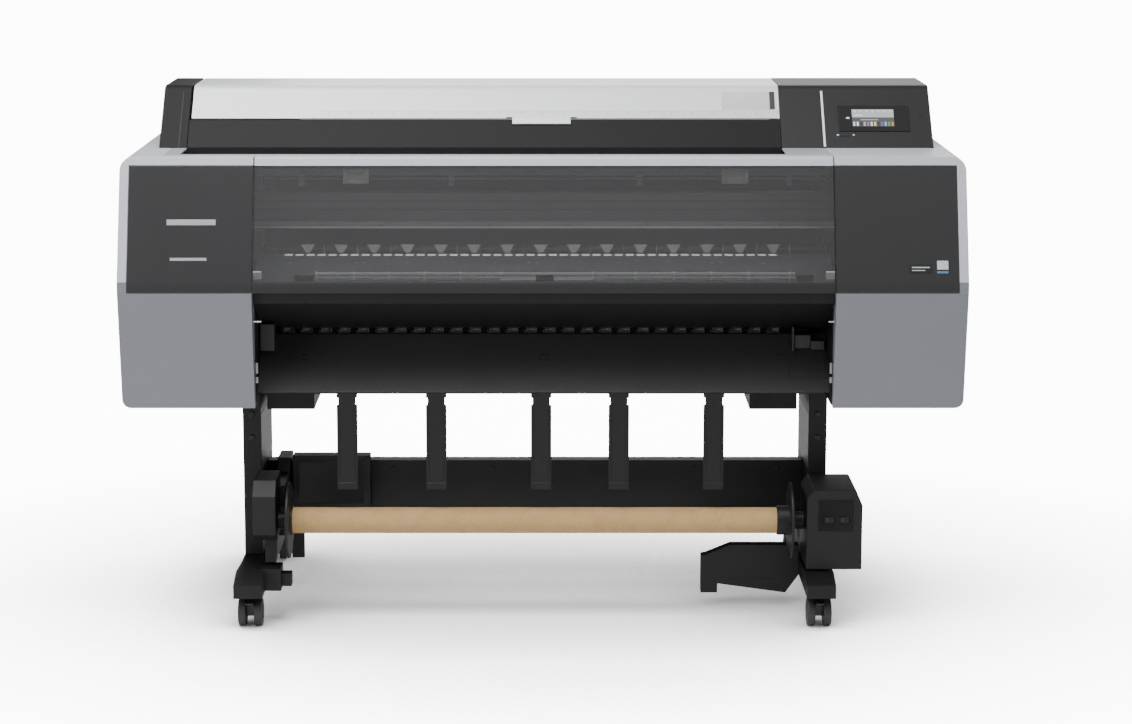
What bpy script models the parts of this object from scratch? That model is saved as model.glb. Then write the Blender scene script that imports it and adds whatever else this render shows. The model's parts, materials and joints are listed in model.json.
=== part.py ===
"""Wide-format roll-fed inkjet printer on a castered stand, with a powered take-up reel.

Metres, +Z up, front towards -Y, +X to the right as seen from the front. The origin is on
the floor under the middle of the printer. Every object is one closed solid.
"""
import math

import bmesh
import bpy
from mathutils import Matrix, Vector

for leftover in list(bpy.data.objects):
    bpy.data.objects.remove(leftover, do_unlink=True)

# ---------------------------------------------------------------- clearances and walls
GAP = 0.0003            # between two faces that rest on each other
SEAM = 0.0005           # between neighbouring covers
RUN = 0.0003            # radial clearance of a shaft in its bearing
WALL = 0.003            # moulded covers
SHEET = 0.004           # bent sheet and tray parts
PLATE = 0.006           # side plates of the frame

# ---------------------------------------------------------------- main sizes
MEDIA_WIDTH = 1.118     # widest paper and its cores
WINDOW_MARGIN = 0.0958  # from the paper's edge to the side casings, each side
CASING_LEFT = 0.302     # width of the left side casing
CASING_RIGHT = 0.2975
BODY_DEPTH = 0.667
BODY_BOTTOM = 0.510     # height of the casings above the floor
BODY_HEIGHT = 0.568     # casings, bottom to deck
ROLL_RADIUS = 0.072     # paper roll in the roll bay
MEDIA_SHIFT = -0.019    # paper centre line against the middle of the casings

WINDOW_WIDTH = MEDIA_WIDTH + 2 * WINDOW_MARGIN
BODY_WIDTH = WINDOW_WIDTH + CASING_LEFT + CASING_RIGHT
LEFT_X = -BODY_WIDTH / 2
RIGHT_X = BODY_WIDTH / 2
WINDOW_X0 = LEFT_X + CASING_LEFT
WINDOW_X1 = RIGHT_X - CASING_RIGHT
FRONT_Y = -BODY_DEPTH / 2
REAR_Y = BODY_DEPTH / 2
DECK_Z = BODY_BOTTOM + BODY_HEIGHT
MEDIA_X0 = MEDIA_SHIFT - MEDIA_WIDTH / 2
MEDIA_X1 = MEDIA_SHIFT + MEDIA_WIDTH / 2

# ---------------------------------------------------------------- front line of the body
CHIN_Z = BODY_BOTTOM + 0.271    # lower edge of the dark front panels and the window
SEAM_Z = BODY_BOTTOM + 0.295    # upper edge of the upright chin
BAND_Z = DECK_Z - 0.019         # lower edge of the light band along the top
LEAN = 0.091                    # how far the deck's front edge lies behind the chin
TUCK = 0.039                    # how far the ink covers' lower edge lies behind the chin
PANEL_THICK = 0.005
FRAME_STRIP = 0.0215            # light strip outside the dark front panels
COVER_DEPTH = 0.058             # depth of the ink cover trays
COVER_SWING = 0.006             # room behind the ink covers to swing
TOP_RADIUS = 0.030
BOTTOM_RADIUS = 0.020

# ---------------------------------------------------------------- paper path
PLATEN_Z = BODY_BOTTOM + 0.328
PLATEN_FRONT = 0.040            # depths are measured back from the front plane
PLATEN_BACK = 0.219
FEED_DEPTH = 0.235
FEED_RADIUS = 0.012
PRESS_RADIUS = 0.008
SHAFT_RADIUS = 0.006
PRESS_SHAFT = 0.004
PRESS_COUNT = 15
LIP_DEPTH = 0.030
SLOT_DEPTH = 0.200              # paper exit slot
SLOT_Z = BODY_BOTTOM + 0.161
SLOT_HEIGHT = 0.019
CHUTE_CREASE_DEPTH = 0.170
CHUTE_CREASE_Z = BODY_BOTTOM + 0.104
CHUTE_FRONT_DEPTH = 0.090
CHUTE_FRONT_Z = BODY_BOTTOM + 0.027

# ---------------------------------------------------------------- carriage
RAIL_FRONT = 0.300
RAIL_BACK = 0.3447
RAIL_Z0 = PLATEN_Z + 0.046
CARRIAGE_TOP = DECK_Z - 0.093
CARRIAGE_ROOF = 0.015           # part of the carriage that rests on the rail
CARRIAGE_WIDTH = 0.150
CARRIAGE_FRONT = 0.130
HEAD_GAP = 0.0025               # print head above the platen
HEAD_HEIGHT = 0.019
PULLEY_RADIUS = 0.009
BELT_THICK = 0.0015
BELT_WIDTH = 0.008

# ---------------------------------------------------------------- roll bay and pods
BAY_DEPTH = 0.400               # pods and roll bay, from their foot in front to the body's back
POD_FRONT = BODY_DEPTH - BAY_DEPTH
POD_LEAN = 0.123
POD_ROUND = 0.028               # rounding between the front and the top, shared with the roll cover
POD_MARGIN_LEFT = 0.0635        # from the casing's outer side to the left pod
POD_WIDTH_LEFT = 0.065
POD_MARGIN_RIGHT = 0.0475
POD_OVERLAP_RIGHT = 0.1025      # how far the control pod reaches in front of the window
BAY_SLOT_FRONT = 0.145
BAY_FLOOR_Z = DECK_Z - 0.026
ROLL_REST = 0.0045              # paper surface above the bay floor
ROLL_HEADROOM = 0.009
COVER_SHEET = 0.0035
POD_TOP_Z = BAY_FLOOR_Z + ROLL_REST + 2 * ROLL_RADIUS + ROLL_HEADROOM + COVER_SHEET
POD_X0 = LEFT_X + POD_MARGIN_LEFT
BAY_X0 = POD_X0 + POD_WIDTH_LEFT
BAY_X1 = WINDOW_X1 - POD_OVERLAP_RIGHT
POD_X1 = RIGHT_X - POD_MARGIN_RIGHT
BAY_BACK = BODY_DEPTH - 0.030
DECK_X0 = BAY_X0 - 0.0345
BAND_BACK = 0.120

# ---------------------------------------------------------------- stand
LEG_WIDTH = 0.0425
LEG_MARGIN = 0.1247             # from the paper's edge to the outer side of a leg
LEG_FRONT = 0.215
LEG_DEPTH = 0.251
FOOT_WIDTH = 0.066
FOOT_OVERHANG = 0.020           # feet reach past the body, front and back
FOOT_BOTTOM = 0.079
FOOT_HEIGHT = 0.040
BEAM_FRONT = 0.340
BEAM_THICK = 0.040
BEAM_Z0 = 0.165
BEAM_Z1 = 0.319
WHEEL_RADIUS = 0.032
WHEEL_WIDTH = 0.018
WHEEL_SPACE = 0.019             # between the two wheels of a caster
CASTER_TRAIL = 0.020
CASTER_INSET = 0.062            # swivel axis behind the body's front plane

LEG_X0 = MEDIA_X0 - LEG_MARGIN
LEG_X1 = MEDIA_X1 + LEG_MARGIN
FLOOR_X0 = LEG_X0 - 0.002
FLOOR_X1 = LEG_X1 + 0.002

# ---------------------------------------------------------------- take-up reel
REEL_DEPTH = 0.108
REEL_Z = 0.231
CORE_RADIUS = 0.030
CORE_WALL = 0.004
DISC_RADIUS = 0.088
DISC_THICK = 0.006
PLUG_LENGTH = 0.022
HUB_RADIUS = 0.020
REEL_SHAFT = 0.010
DRIVE_X = MEDIA_X1 + 0.064      # inner face of the drive unit
DRIVE_WIDTH = 0.127
IDLER_X = MEDIA_X0 - 0.035      # inner face of the movable unit
IDLER_WIDTH = 0.052

SUPPORT_WIDTH = 0.047
SUPPORT_RADIUS = 0.005          # hinge barrel along the support's upper end
SUPPORT_LIFT = 0.048            # lower end above the reel's core
SUPPORT_SPOTS = (-0.4302, -0.2257, 0.0150, 0.1932, 0.4109)   # from the paper's centre line

# ---------------------------------------------------------------- smaller sizes
TINY = 1e-5
PLATE_MARGIN = 0.0007           # side plates stand just outside the window's edges
FEED_Z = PLATEN_Z - FEED_RADIUS
PRESS_Z = PLATEN_Z + GAP + PRESS_RADIUS
PRESS_LENGTH = 0.040
SHAFT_STEPS = 16
DECK_THICK = 0.005
BLOCK_WIDTH = 0.111             # mounting blocks under the frame
BLOCK_HEIGHT = 0.047
BLOCK_INSET = 0.0546            # from the outer side of the left leg
BLOCK_INSET_RIGHT = 0.0678
CARRIAGE_PARK = 0.133           # parked carriage, outside the window
INK_COUNT = 6
INK_SPACE = 0.005
INK_MARGIN = 0.021
ROLL_CORE_RADIUS = 0.038
POD_WALL = 0.005
WALL_SHARE = 0.45               # share of the pods' height that the bay's front wall closes
SCREEN_X1 = POD_X1 - 0.0508
SCREEN_X0 = SCREEN_X1 - 0.166
SCREEN_SINK = 0.0025
BUTTON_X = SCREEN_X0 + 0.0128
LAMP_X = SCREEN_X0 - 0.0355
LAMP_SINK = 0.002
LAMP_TOP = 0.91                 # share of the front's height that the lamp runs up
AXLE_RADIUS = 0.005
STEM_RADIUS = 0.016
SHAFT_SINK = 0.016              # how far the flange shafts reach into their units

# ---------------------------------------------------------------- finishes
FINISHES = {
    "light_grey": ((0.49, 0.51, 0.54), 0.45, 0.0),
    "deck_grey": ((0.31, 0.33, 0.37), 0.45, 0.0),
    "dark_gloss": ((0.045, 0.045, 0.050), 0.18, 0.0),
    "dark_grey": ((0.055, 0.056, 0.060), 0.40, 0.0),
    "black_plastic": ((0.018, 0.018, 0.020), 0.50, 0.0),
    "black_metal": ((0.022, 0.022, 0.024), 0.42, 0.4),
    "silver_plastic": ((0.55, 0.56, 0.58), 0.28, 0.3),
    "smoked_window": ((0.060, 0.062, 0.066), 0.10, 0.0),
    "steel": ((0.55, 0.55, 0.56), 0.30, 1.0),
    "rubber": ((0.020, 0.020, 0.021), 0.75, 0.0),
    "card": ((0.52, 0.40, 0.24), 0.80, 0.0),
    "paper": ((0.86, 0.86, 0.85), 0.85, 0.0),
    "screen_glass": ((0.010, 0.010, 0.012), 0.08, 0.0),
    "lamp": ((0.72, 0.74, 0.78), 0.35, 0.0),
    "belt": ((0.030, 0.030, 0.030), 0.70, 0.0),
}


def make_material(name):
    colour, roughness, metallic = FINISHES[name]
    material = bpy.data.materials.new(name)
    material.use_nodes = True
    shader = material.node_tree.nodes["Principled BSDF"]
    shader.inputs["Base Color"].default_value = (*colour, 1.0)
    shader.inputs["Roughness"].default_value = roughness
    shader.inputs["Metallic"].default_value = metallic
    return material


MATERIALS = {name: make_material(name) for name in FINISHES}


# ---------------------------------------------------------------- outlines
def behind(depth):
    """Y of a plane this far behind the body's front plane."""
    return FRONT_Y + depth


def deep(points):
    """Outline points given as (depth, height), as (y, z)."""
    return [(behind(depth), height) for depth, height in points]


def front_depth(height):
    """Depth of the body's front line at a height."""
    if height >= SEAM_Z:
        return LEAN * (height - SEAM_Z) / (DECK_Z - SEAM_Z)
    if height >= CHIN_Z:
        return 0.0
    return TUCK * (CHIN_Z - height) / (CHIN_Z - BODY_BOTTOM)


def arc(centre, radius, start, stop, steps):
    """Points on a circle, angles in degrees."""
    points = []
    for step in range(steps + 1):
        angle = math.radians(start + (stop - start) * step / steps)
        points.append((centre[0] + radius * math.cos(angle), centre[1] + radius * math.sin(angle)))
    return points


def circle(centre, radius, steps):
    return arc(centre, radius, 0, 360 * (steps - 1) / steps, steps - 1)


def thicken(path, thickness):
    """Closed outline of a bent strip: the path and its copy moved to its left by the thickness."""
    points = [Vector(point) for point in path]
    moved = []
    for index, point in enumerate(points):
        normals = []
        for first, second in ((index - 1, index), (index, index + 1)):
            if first >= 0 and second < len(points):
                run = (points[second] - points[first]).normalized()
                normals.append(Vector((-run.y, run.x)))
        middle = sum(normals, Vector((0.0, 0.0))).normalized()
        moved.append(point + middle * thickness / middle.dot(normals[0]))
    return [tuple(point) for point in points] + [tuple(point) for point in reversed(moved)]


# ---------------------------------------------------------------- solids
PLACE = {
    "X": lambda first, second, along: (along, first, second),
    "Y": lambda first, second, along: (first, along, second),
    "Z": lambda first, second, along: (first, second, along),
}


def add_prism(bm, outline, axis, low, high):
    """Solid between two copies of an outline, square to the axis."""
    place = PLACE[axis]
    ends = [[bm.verts.new(place(a, b, along)) for a, b in outline] for along in (low, high)]
    bm.faces.new(ends[0])
    bm.faces.new(ends[1])
    for index in range(len(outline)):
        following = (index + 1) % len(outline)
        bm.faces.new((ends[0][index], ends[0][following], ends[1][following], ends[1][index]))
    return ends


def add_ring(bm, outer, inner, axis, low, high):
    """Solid between two outlines with the same number of points, one inside the other."""
    place = PLACE[axis]
    loops = []
    for outline, along in ((outer, low), (outer, high), (inner, high), (inner, low)):
        loops.append([bm.verts.new(place(a, b, along)) for a, b in outline])
    for first, second in ((0, 1), (1, 2), (2, 3), (3, 0)):
        for index in range(len(outer)):
            following = (index + 1) % len(outer)
            bm.faces.new((loops[first][index], loops[first][following],
                          loops[second][following], loops[second][index]))


def add_box(bm, x, y, z):
    add_prism(bm, [(x[0], y[0]), (x[1], y[0]), (x[1], y[1]), (x[0], y[1])], "Z", z[0], z[1])


def add_turned(bm, profile, centre, steps, flat_down=False):
    """Solid of revolution about an axis along X. The profile is (x, radius) from end to end."""
    turn = 0.5 if flat_down else 0.0
    grow = 1 / math.cos(math.pi / steps) if flat_down else 1.0
    rings = []
    for x, radius in profile:
        ring = []
        for step in range(steps):
            angle = 2 * math.pi * (step + turn) / steps - math.pi / 2
            y = centre[0] + grow * radius * math.cos(angle)
            z = centre[1] + grow * radius * math.sin(angle)
            ring.append(bm.verts.new((x, y, z)))
        rings.append(ring)
    bm.faces.new(rings[0])
    bm.faces.new(rings[-1])
    for first, second in zip(rings, rings[1:]):
        for step in range(steps):
            following = (step + 1) % steps
            bm.faces.new((first[step], first[following], second[following], second[step]))


def bevel_where(bm, test, radius, segments):
    """Rounds the edges whose two ends both pass the test."""
    edges = [edge for edge in bm.edges if all(test(vertex.co) for vertex in edge.verts)]
    bmesh.ops.bevel(bm, geom=edges, offset=radius, offset_type="OFFSET", segments=segments,
                    profile=0.5, affect="EDGES", clamp_overlap=True)


def make_object(name, bm, finish=None, origin=(0.0, 0.0, 0.0), smooth=False):
    """Turns a mesh built in world coordinates into an object whose origin is a chosen point."""
    bmesh.ops.recalc_face_normals(bm, faces=bm.faces)
    bm.transform(Matrix.Translation(-Vector(origin)))
    mesh = bpy.data.meshes.new(name)
    bm.to_mesh(mesh)
    bm.free()
    if smooth:
        mesh.shade_smooth()
        mesh.set_sharp_from_angle(angle=math.radians(35))
    item = bpy.data.objects.new(name, mesh)
    item.location = origin
    bpy.context.scene.collection.objects.link(item)
    if finish:
        mesh.materials.append(MATERIALS[finish])
    return item


def combine(item, bm, operation):
    """Cuts a second shape out of an object, or joins it on, with a Boolean modifier."""
    tool = make_object(item.name + "_" + operation.lower(), bm)
    tool.hide_render = True
    tool.display_type = "WIRE"
    modifier = item.modifiers.new(operation.title(), "BOOLEAN")
    modifier.operation = operation
    modifier.solver = "EXACT"
    modifier.object = tool


def carve(item, bm):
    combine(item, bm, "DIFFERENCE")


def weld(item, bm):
    combine(item, bm, "UNION")


def attach(child, parent):
    """Makes a piece ride on another one without moving it."""
    child.location = child.location - parent.location
    child.parent = parent


# ---------------------------------------------------------------- frame
def make_main_frame():
    """Floor, two side plates and the two mounting blocks that stand on the legs."""
    high_front = RAIL_BACK + GAP
    ear = 0.009
    ear_top = PLATEN_Z + 2 * PRESS_RADIUS + 0.001
    low_top = PLATEN_Z - 0.002
    high_top = BAY_FLOOR_Z - SHEET - GAP
    lower_front = COVER_DEPTH + 0.017
    back = BODY_DEPTH - WALL - GAP
    plate = deep([
        (lower_front, BODY_BOTTOM), (lower_front, CHIN_Z + 0.006), (LIP_DEPTH, CHIN_Z + 0.006),
        (LIP_DEPTH, low_top), (FEED_DEPTH - ear, low_top), (FEED_DEPTH - ear, ear_top),
        (FEED_DEPTH + ear, ear_top), (FEED_DEPTH + ear, low_top), (high_front, low_top),
        (high_front, high_top), (back, high_top), (back, BODY_BOTTOM)])
    bm = bmesh.new()
    add_box(bm, (FLOOR_X0, FLOOR_X1), (behind(SLOT_DEPTH), behind(back)),
            (BODY_BOTTOM, BODY_BOTTOM + 0.012))
    frame = make_object("main_frame", bm, "black_metal")
    bm = bmesh.new()
    add_prism(bm, plate, "X", WINDOW_X0 - PLATE_MARGIN - PLATE, WINDOW_X0 - PLATE_MARGIN)
    add_prism(bm, plate, "X", WINDOW_X1 + PLATE_MARGIN, WINDOW_X1 + PLATE_MARGIN + PLATE)
    weld(frame, bm)
    bm = bmesh.new()
    for x0 in (LEG_X0 + BLOCK_INSET, LEG_X1 - BLOCK_INSET_RIGHT - BLOCK_WIDTH):
        add_box(bm, (x0, x0 + BLOCK_WIDTH), (behind(0.250), behind(0.420)),
                (BODY_BOTTOM - BLOCK_HEIGHT, BODY_BOTTOM + 0.006))
    weld(frame, bm)
    bm = bmesh.new()
    for height, radius in ((FEED_Z, SHAFT_RADIUS), (PRESS_Z, PRESS_SHAFT)):
        add_turned(bm, [(LEFT_X, radius + RUN), (RIGHT_X, radius + RUN)],
                   (behind(FEED_DEPTH), height), SHAFT_STEPS)
    carve(frame, bm)


# ---------------------------------------------------------------- side casings
def casing_outline(inset):
    """Side view of the body, moved inwards by a wall."""
    slope = math.hypot(LEAN, DECK_Z - SEAM_Z) / (DECK_Z - SEAM_Z)
    top_z = DECK_Z - inset
    bottom_z = BODY_BOTTOM + inset
    return deep([
        (front_depth(bottom_z) + inset, bottom_z), (inset, CHIN_Z), (inset, SEAM_Z),
        (front_depth(top_z) + inset * slope, top_z),
        (BODY_DEPTH - inset, top_z), (BODY_DEPTH - inset, bottom_z)])


def add_rounded_casing(bm, inset, outer_x, open_x):
    """Block of the body's side view with its two long outer edges rounded."""
    add_prism(bm, casing_outline(inset), "X", outer_x, open_x)
    for level, radius in ((DECK_Z - inset, TOP_RADIUS), (BODY_BOTTOM + inset, BOTTOM_RADIUS)):
        bevel_where(bm, lambda co: abs(co.x - outer_x) < TINY and abs(co.z - level) < TINY,
                    radius - inset, 5)


def make_casing(side, outer_x, window_x, floor_x):
    """Moulded shell of one side: outer wall, top, back, bottom and the light strips in front."""
    inward = 1 if outer_x < window_x else -1
    past_x = window_x + inward * 0.05
    bm = bmesh.new()
    add_rounded_casing(bm, 0.0, outer_x, window_x)
    shell = make_object("casing_" + side, bm, "light_grey", smooth=True)
    bm = bmesh.new()
    add_rounded_casing(bm, WALL, outer_x + inward * WALL, past_x)
    carve(shell, bm)
    bm = bmesh.new()
    add_box(bm, sorted((outer_x - inward * 0.05, past_x)),
            (behind(-0.05), behind(COVER_DEPTH + COVER_SWING)), (BODY_BOTTOM - 0.05, SEAM_Z))
    carve(shell, bm)
    bm = bmesh.new()
    opening = deep([
        (-0.05, SEAM_Z - 0.02), (0.03, SEAM_Z - 0.02), (0.03, SEAM_Z),
        (front_depth(BAND_Z) + 0.03, BAND_Z), (front_depth(BAND_Z) - 0.10, BAND_Z)])
    add_prism(bm, opening, "X", outer_x + inward * FRAME_STRIP, past_x)
    carve(shell, bm)
    bm = bmesh.new()
    add_box(bm, sorted((floor_x - inward * SEAM, past_x)),
            (behind(-0.05), behind(BODY_DEPTH - WALL)), (BODY_BOTTOM - 0.02, BODY_BOTTOM + 0.014))
    carve(shell, bm)
    if side == "left":
        bm = bmesh.new()
        add_box(bm, (DECK_X0 - SEAM, past_x), (behind(BAND_BACK), REAR_Y + 0.05),
                (DECK_Z - DECK_THICK - 0.001, DECK_Z + 0.05))
        carve(shell, bm)


def make_front_panel(side, outer_x, window_x):
    """Dark glossy panel on the front of a side casing: sloping face and upright chin."""
    inward = 1 if outer_x < window_x else -1
    top = BAND_Z - SEAM
    path = deep([(0.0, CHIN_Z), (0.0, SEAM_Z), (front_depth(top), top)])
    bm = bmesh.new()
    add_prism(bm, thicken(path, -PANEL_THICK), "X", outer_x + inward * (FRAME_STRIP + SEAM), window_x)
    make_object("front_panel_" + side, bm, "dark_gloss")


def make_ink_cover(side, outer_x, window_x):
    """Tray-shaped cover over the ink cartridges, hinged along its lower edge."""
    inward = 1 if outer_x < window_x else -1
    top = CHIN_Z - SEAM
    inner_x = window_x - inward * (PLATE_MARGIN + SEAM)
    axis = (0.0, behind(COVER_DEPTH - 0.008), BODY_BOTTOM + 0.008)
    bm = bmesh.new()
    outline = deep([(TUCK, BODY_BOTTOM), (front_depth(top), top), (COVER_DEPTH, top),
                    (COVER_DEPTH, BODY_BOTTOM)])
    add_prism(bm, outline, "X", outer_x, inner_x)
    bevel_where(bm, lambda co: abs(co.x - outer_x) < TINY and co.z < BODY_BOTTOM + TINY,
                BOTTOM_RADIUS, 5)
    cover = make_object("ink_cover_" + side, bm, "light_grey", origin=axis, smooth=True)
    bm = bmesh.new()
    strip = deep([(0.0, top - 0.004), (0.0, SEAM_Z - SEAM), (COVER_DEPTH, SEAM_Z - SEAM),
                  (COVER_DEPTH, top - 0.004)])
    add_prism(bm, strip, "X", outer_x, outer_x + inward * FRAME_STRIP)
    weld(cover, bm)
    bm = bmesh.new()
    hollow = deep([(front_depth(BODY_BOTTOM + WALL) + WALL, BODY_BOTTOM + WALL), (WALL, top - WALL),
                   (COVER_DEPTH + 0.01, top - WALL), (COVER_DEPTH + 0.01, BODY_BOTTOM + WALL)])
    add_prism(bm, hollow, "X", outer_x + inward * WALL, inner_x - inward * WALL)
    bevel_where(bm, lambda co: abs(co.x - outer_x - inward * WALL) < TINY
                and co.z < BODY_BOTTOM + WALL + TINY, BOTTOM_RADIUS - WALL, 5)
    carve(cover, bm)


# ---------------------------------------------------------------- covers in the middle
def make_rear_cover():
    """Flat panel that closes the back between the side casings."""
    bm = bmesh.new()
    add_box(bm, (WINDOW_X0 + SEAM, WINDOW_X1 - SEAM), (REAR_Y - WALL, REAR_Y),
            (BODY_BOTTOM, BAY_FLOOR_Z - SHEET - GAP))
    cover = make_object("rear_cover", bm, "dark_grey")
    bm = bmesh.new()
    add_box(bm, (WINDOW_X0 + 0.02, WINDOW_X1 - 0.02), (REAR_Y - WALL / 2, REAR_Y + 0.002),
            (BODY_BOTTOM + 0.03, BAY_FLOOR_Z - 0.03))
    weld(cover, bm)


def make_top_deck():
    """Light cover around the paper slot, in front of and beside the roll bay."""
    x0, x1 = DECK_X0, WINDOW_X1 - SEAM
    y0, y1, y2 = behind(BAND_BACK + SEAM), behind(BAY_SLOT_FRONT - GAP), REAR_Y
    inner0, inner1 = BAY_X0, BAY_X1
    outline = [(x0, y0), (x1, y0), (x1, y2), (inner1, y2), (inner1, y1), (inner0, y1),
               (inner0, y2), (x0, y2)]
    bm = bmesh.new()
    add_prism(bm, outline, "Z", DECK_Z - DECK_THICK, DECK_Z)
    make_object("top_deck", bm, "deck_grey")


def pod_corner():
    """Rounded corner between the leaning front and the flat top of the pods. (depth, height)"""
    lean = math.degrees(math.atan2(POD_TOP_Z - DECK_Z - GAP, POD_LEAN))
    tangent = POD_ROUND * math.tan(math.radians(lean / 2))
    centre = (POD_FRONT + POD_LEAN + tangent, POD_TOP_Z - POD_ROUND)
    return arc(centre, POD_ROUND, 90 + lean, 90, 6)


def pod_back():
    """Top rear corner, sloping back and rear foot of the pods. (depth, height)"""
    return [(BODY_DEPTH - 0.067, POD_TOP_Z), (BODY_DEPTH - 0.012, POD_TOP_Z - 0.0635),
            (BODY_DEPTH - 0.007, DECK_Z + GAP)]


def pod_line():
    """Side view of the pods: leaning front, flat top, sloping back. (depth, height)"""
    return [(POD_FRONT, DECK_Z + GAP)] + pod_corner() + pod_back()


def pod_front(share):
    """Point on the leaning front of the pods, as (y, z), a share of the way up."""
    return (behind(POD_FRONT + POD_LEAN * share), DECK_Z + GAP + (POD_TOP_Z - DECK_Z - GAP) * share)


def make_roll_bay():
    """Bent tray: floor of the paper slot, leaning front wall, roll trough and back wall."""
    under = BAY_FLOOR_Z - SHEET
    rise = POD_TOP_Z - DECK_Z
    lean = POD_LEAN / rise
    skin = SHEET * math.hypot(1.0, lean)
    wall_top = DECK_Z + rise * WALL_SHARE - SHEET - SEAM
    wall_front = POD_FRONT + skin + lean * (wall_top - DECK_Z)
    path = deep([
        (BAY_SLOT_FRONT, DECK_Z), (BAY_SLOT_FRONT, under), (POD_FRONT, under),
        (POD_FRONT + skin, DECK_Z), (wall_front, wall_top), (wall_front + 0.008, wall_top),
        (wall_front + 0.030, under), (BAY_BACK + SHEET, under), (BAY_BACK + SHEET, DECK_Z + 0.047)])
    bm = bmesh.new()
    add_prism(bm, thicken(path, SHEET), "X", BAY_X0 + GAP, BAY_X1 - GAP)
    make_object("roll_bay", bm, "black_plastic")


def make_roll_cover():
    """Curved cover over the roll bay, lifted by the tab at its front edge, hinged at the back."""
    edge = pod_front(WALL_SHARE + 0.02)
    back = behind(BAY_BACK + SHEET) + 0.010
    top = POD_TOP_Z
    bend = 0.062
    hinge = (0.0, behind(BAY_BACK + 0.003), DECK_Z + 0.062)
    path = [edge] + deep(pod_corner())
    path += arc((back - bend, top - bend), bend, 90, 0, 6)
    path += [(back, DECK_Z + 0.056)]
    bm = bmesh.new()
    add_prism(bm, thicken(path, -COVER_SHEET), "X", BAY_X0 + 0.005, BAY_X1 - 0.0015)
    cover = make_object("roll_cover", bm, "silver_plastic", origin=hinge)
    tab_x = MEDIA_SHIFT + 0.0155
    share = WALL_SHARE + 0.02
    for half, low, high, bottom in ((0.068, share - 0.10, share + 0.02, SEAM),
                                    (0.082, share + 0.005, share + 0.04, -0.002)):
        bm = bmesh.new()
        add_on_slope(bm, tab_x - half, tab_x + half, low, high, bottom, 0.004)
        weld(cover, bm)


def add_pod(bm, x0, x1):
    add_prism(bm, deep(pod_line()), "X", x0, x1)


def pod_hollow(x0, x1):
    """Inside of a pod, open at the bottom."""
    start = DECK_Z + GAP
    lean = POD_LEAN / (POD_TOP_Z - start)
    lift = POD_WALL * math.hypot(lean, 1.0)
    top = POD_TOP_Z - POD_WALL
    foot = DECK_Z - 0.01
    back = pod_back()
    bm = bmesh.new()
    add_prism(bm, deep([
        (POD_FRONT + lift + lean * (foot - start), foot),
        (POD_FRONT + lift + lean * (top - start), top),
        (back[0][0] - POD_WALL, top), (back[1][0] - 2 * POD_WALL, back[1][1]),
        (back[2][0] - 2 * POD_WALL, foot)]), "X", x0 + POD_WALL, x1 - POD_WALL)
    return bm


def make_pods():
    """The two end housings of the roll bay. The right one carries the controls."""
    bm = bmesh.new()
    add_pod(bm, POD_X0, BAY_X0 - GAP)
    pod = make_object("end_pod_left", bm, "dark_grey")
    carve(pod, pod_hollow(POD_X0, BAY_X0 - GAP))

    bm = bmesh.new()
    add_pod(bm, BAY_X1 + GAP, POD_X1)
    pod = make_object("control_pod", bm, "dark_grey")
    carve(pod, pod_hollow(BAY_X1 + GAP, POD_X1))
    for x0, x1, low, high, depth in ((SCREEN_X0, SCREEN_X1, 0.26, 0.67, SCREEN_SINK),
                                     (BUTTON_X - 0.0105, BUTTON_X + 0.0105, 0.187, 0.233, 0.02),
                                     (LAMP_X - 0.0025, LAMP_X + 0.0025, 0.02, LAMP_TOP, LAMP_SINK)):
        bm = bmesh.new()
        add_on_slope(bm, x0 - RUN, x1 + RUN, low, high, -depth - RUN, 0.02, RUN)
        carve(pod, bm)


def add_on_slope(bm, x0, x1, low, high, bottom, top, spread=0.0):
    """Block on the pods' leaning front, between two heights above its surface."""
    first = Vector(pod_front(low))
    last = Vector(pod_front(high))
    along = (last - first).normalized()
    out = Vector((-along.y, along.x))
    first = first - along * spread
    last = last + along * spread
    add_prism(bm, [tuple(first + out * bottom), tuple(last + out * bottom),
                   tuple(last + out * top), tuple(first + out * top)], "X", x0, x1)


def make_controls():
    """Touch panel, power button and alert lamp, sunk into the control pod."""
    bm = bmesh.new()
    add_on_slope(bm, SCREEN_X0, SCREEN_X1, 0.26, 0.67, -SCREEN_SINK, 0.0015)
    make_object("touch_panel", bm, "screen_glass")
    middle = pod_front(0.21)
    bm = bmesh.new()
    add_on_slope(bm, BUTTON_X - 0.0105, BUTTON_X + 0.0105, 0.187, 0.233, -0.004, 0.001)
    make_object("power_button", bm, "black_plastic", origin=(BUTTON_X, *middle))
    bm = bmesh.new()
    add_on_slope(bm, LAMP_X - 0.0025, LAMP_X + 0.0025, 0.02, LAMP_TOP, -LAMP_SINK, 0.0005)
    make_object("alert_lamp", bm, "lamp")


def make_front_cover():
    """See-through front cover with the light band along its hinge."""
    path = deep([(0.0, CHIN_Z), (0.0, SEAM_Z), (LEAN - 0.001, DECK_Z - 0.004),
                 (LEAN + 0.004, DECK_Z), (BAND_BACK, DECK_Z)])
    bm = bmesh.new()
    add_prism(bm, thicken(path, -PANEL_THICK), "X", WINDOW_X0 + SEAM, WINDOW_X1 - SEAM)
    make_object("front_cover", bm, "smoked_window",
                origin=(0.0, behind(BAND_BACK - 0.0005), DECK_Z - 0.0005))


# ---------------------------------------------------------------- paper path
def inside_x():
    """X range between the side plates, for parts that rest against both."""
    return WINDOW_X0 - PLATE_MARGIN + GAP, WINDOW_X1 + PLATE_MARGIN - GAP


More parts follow.
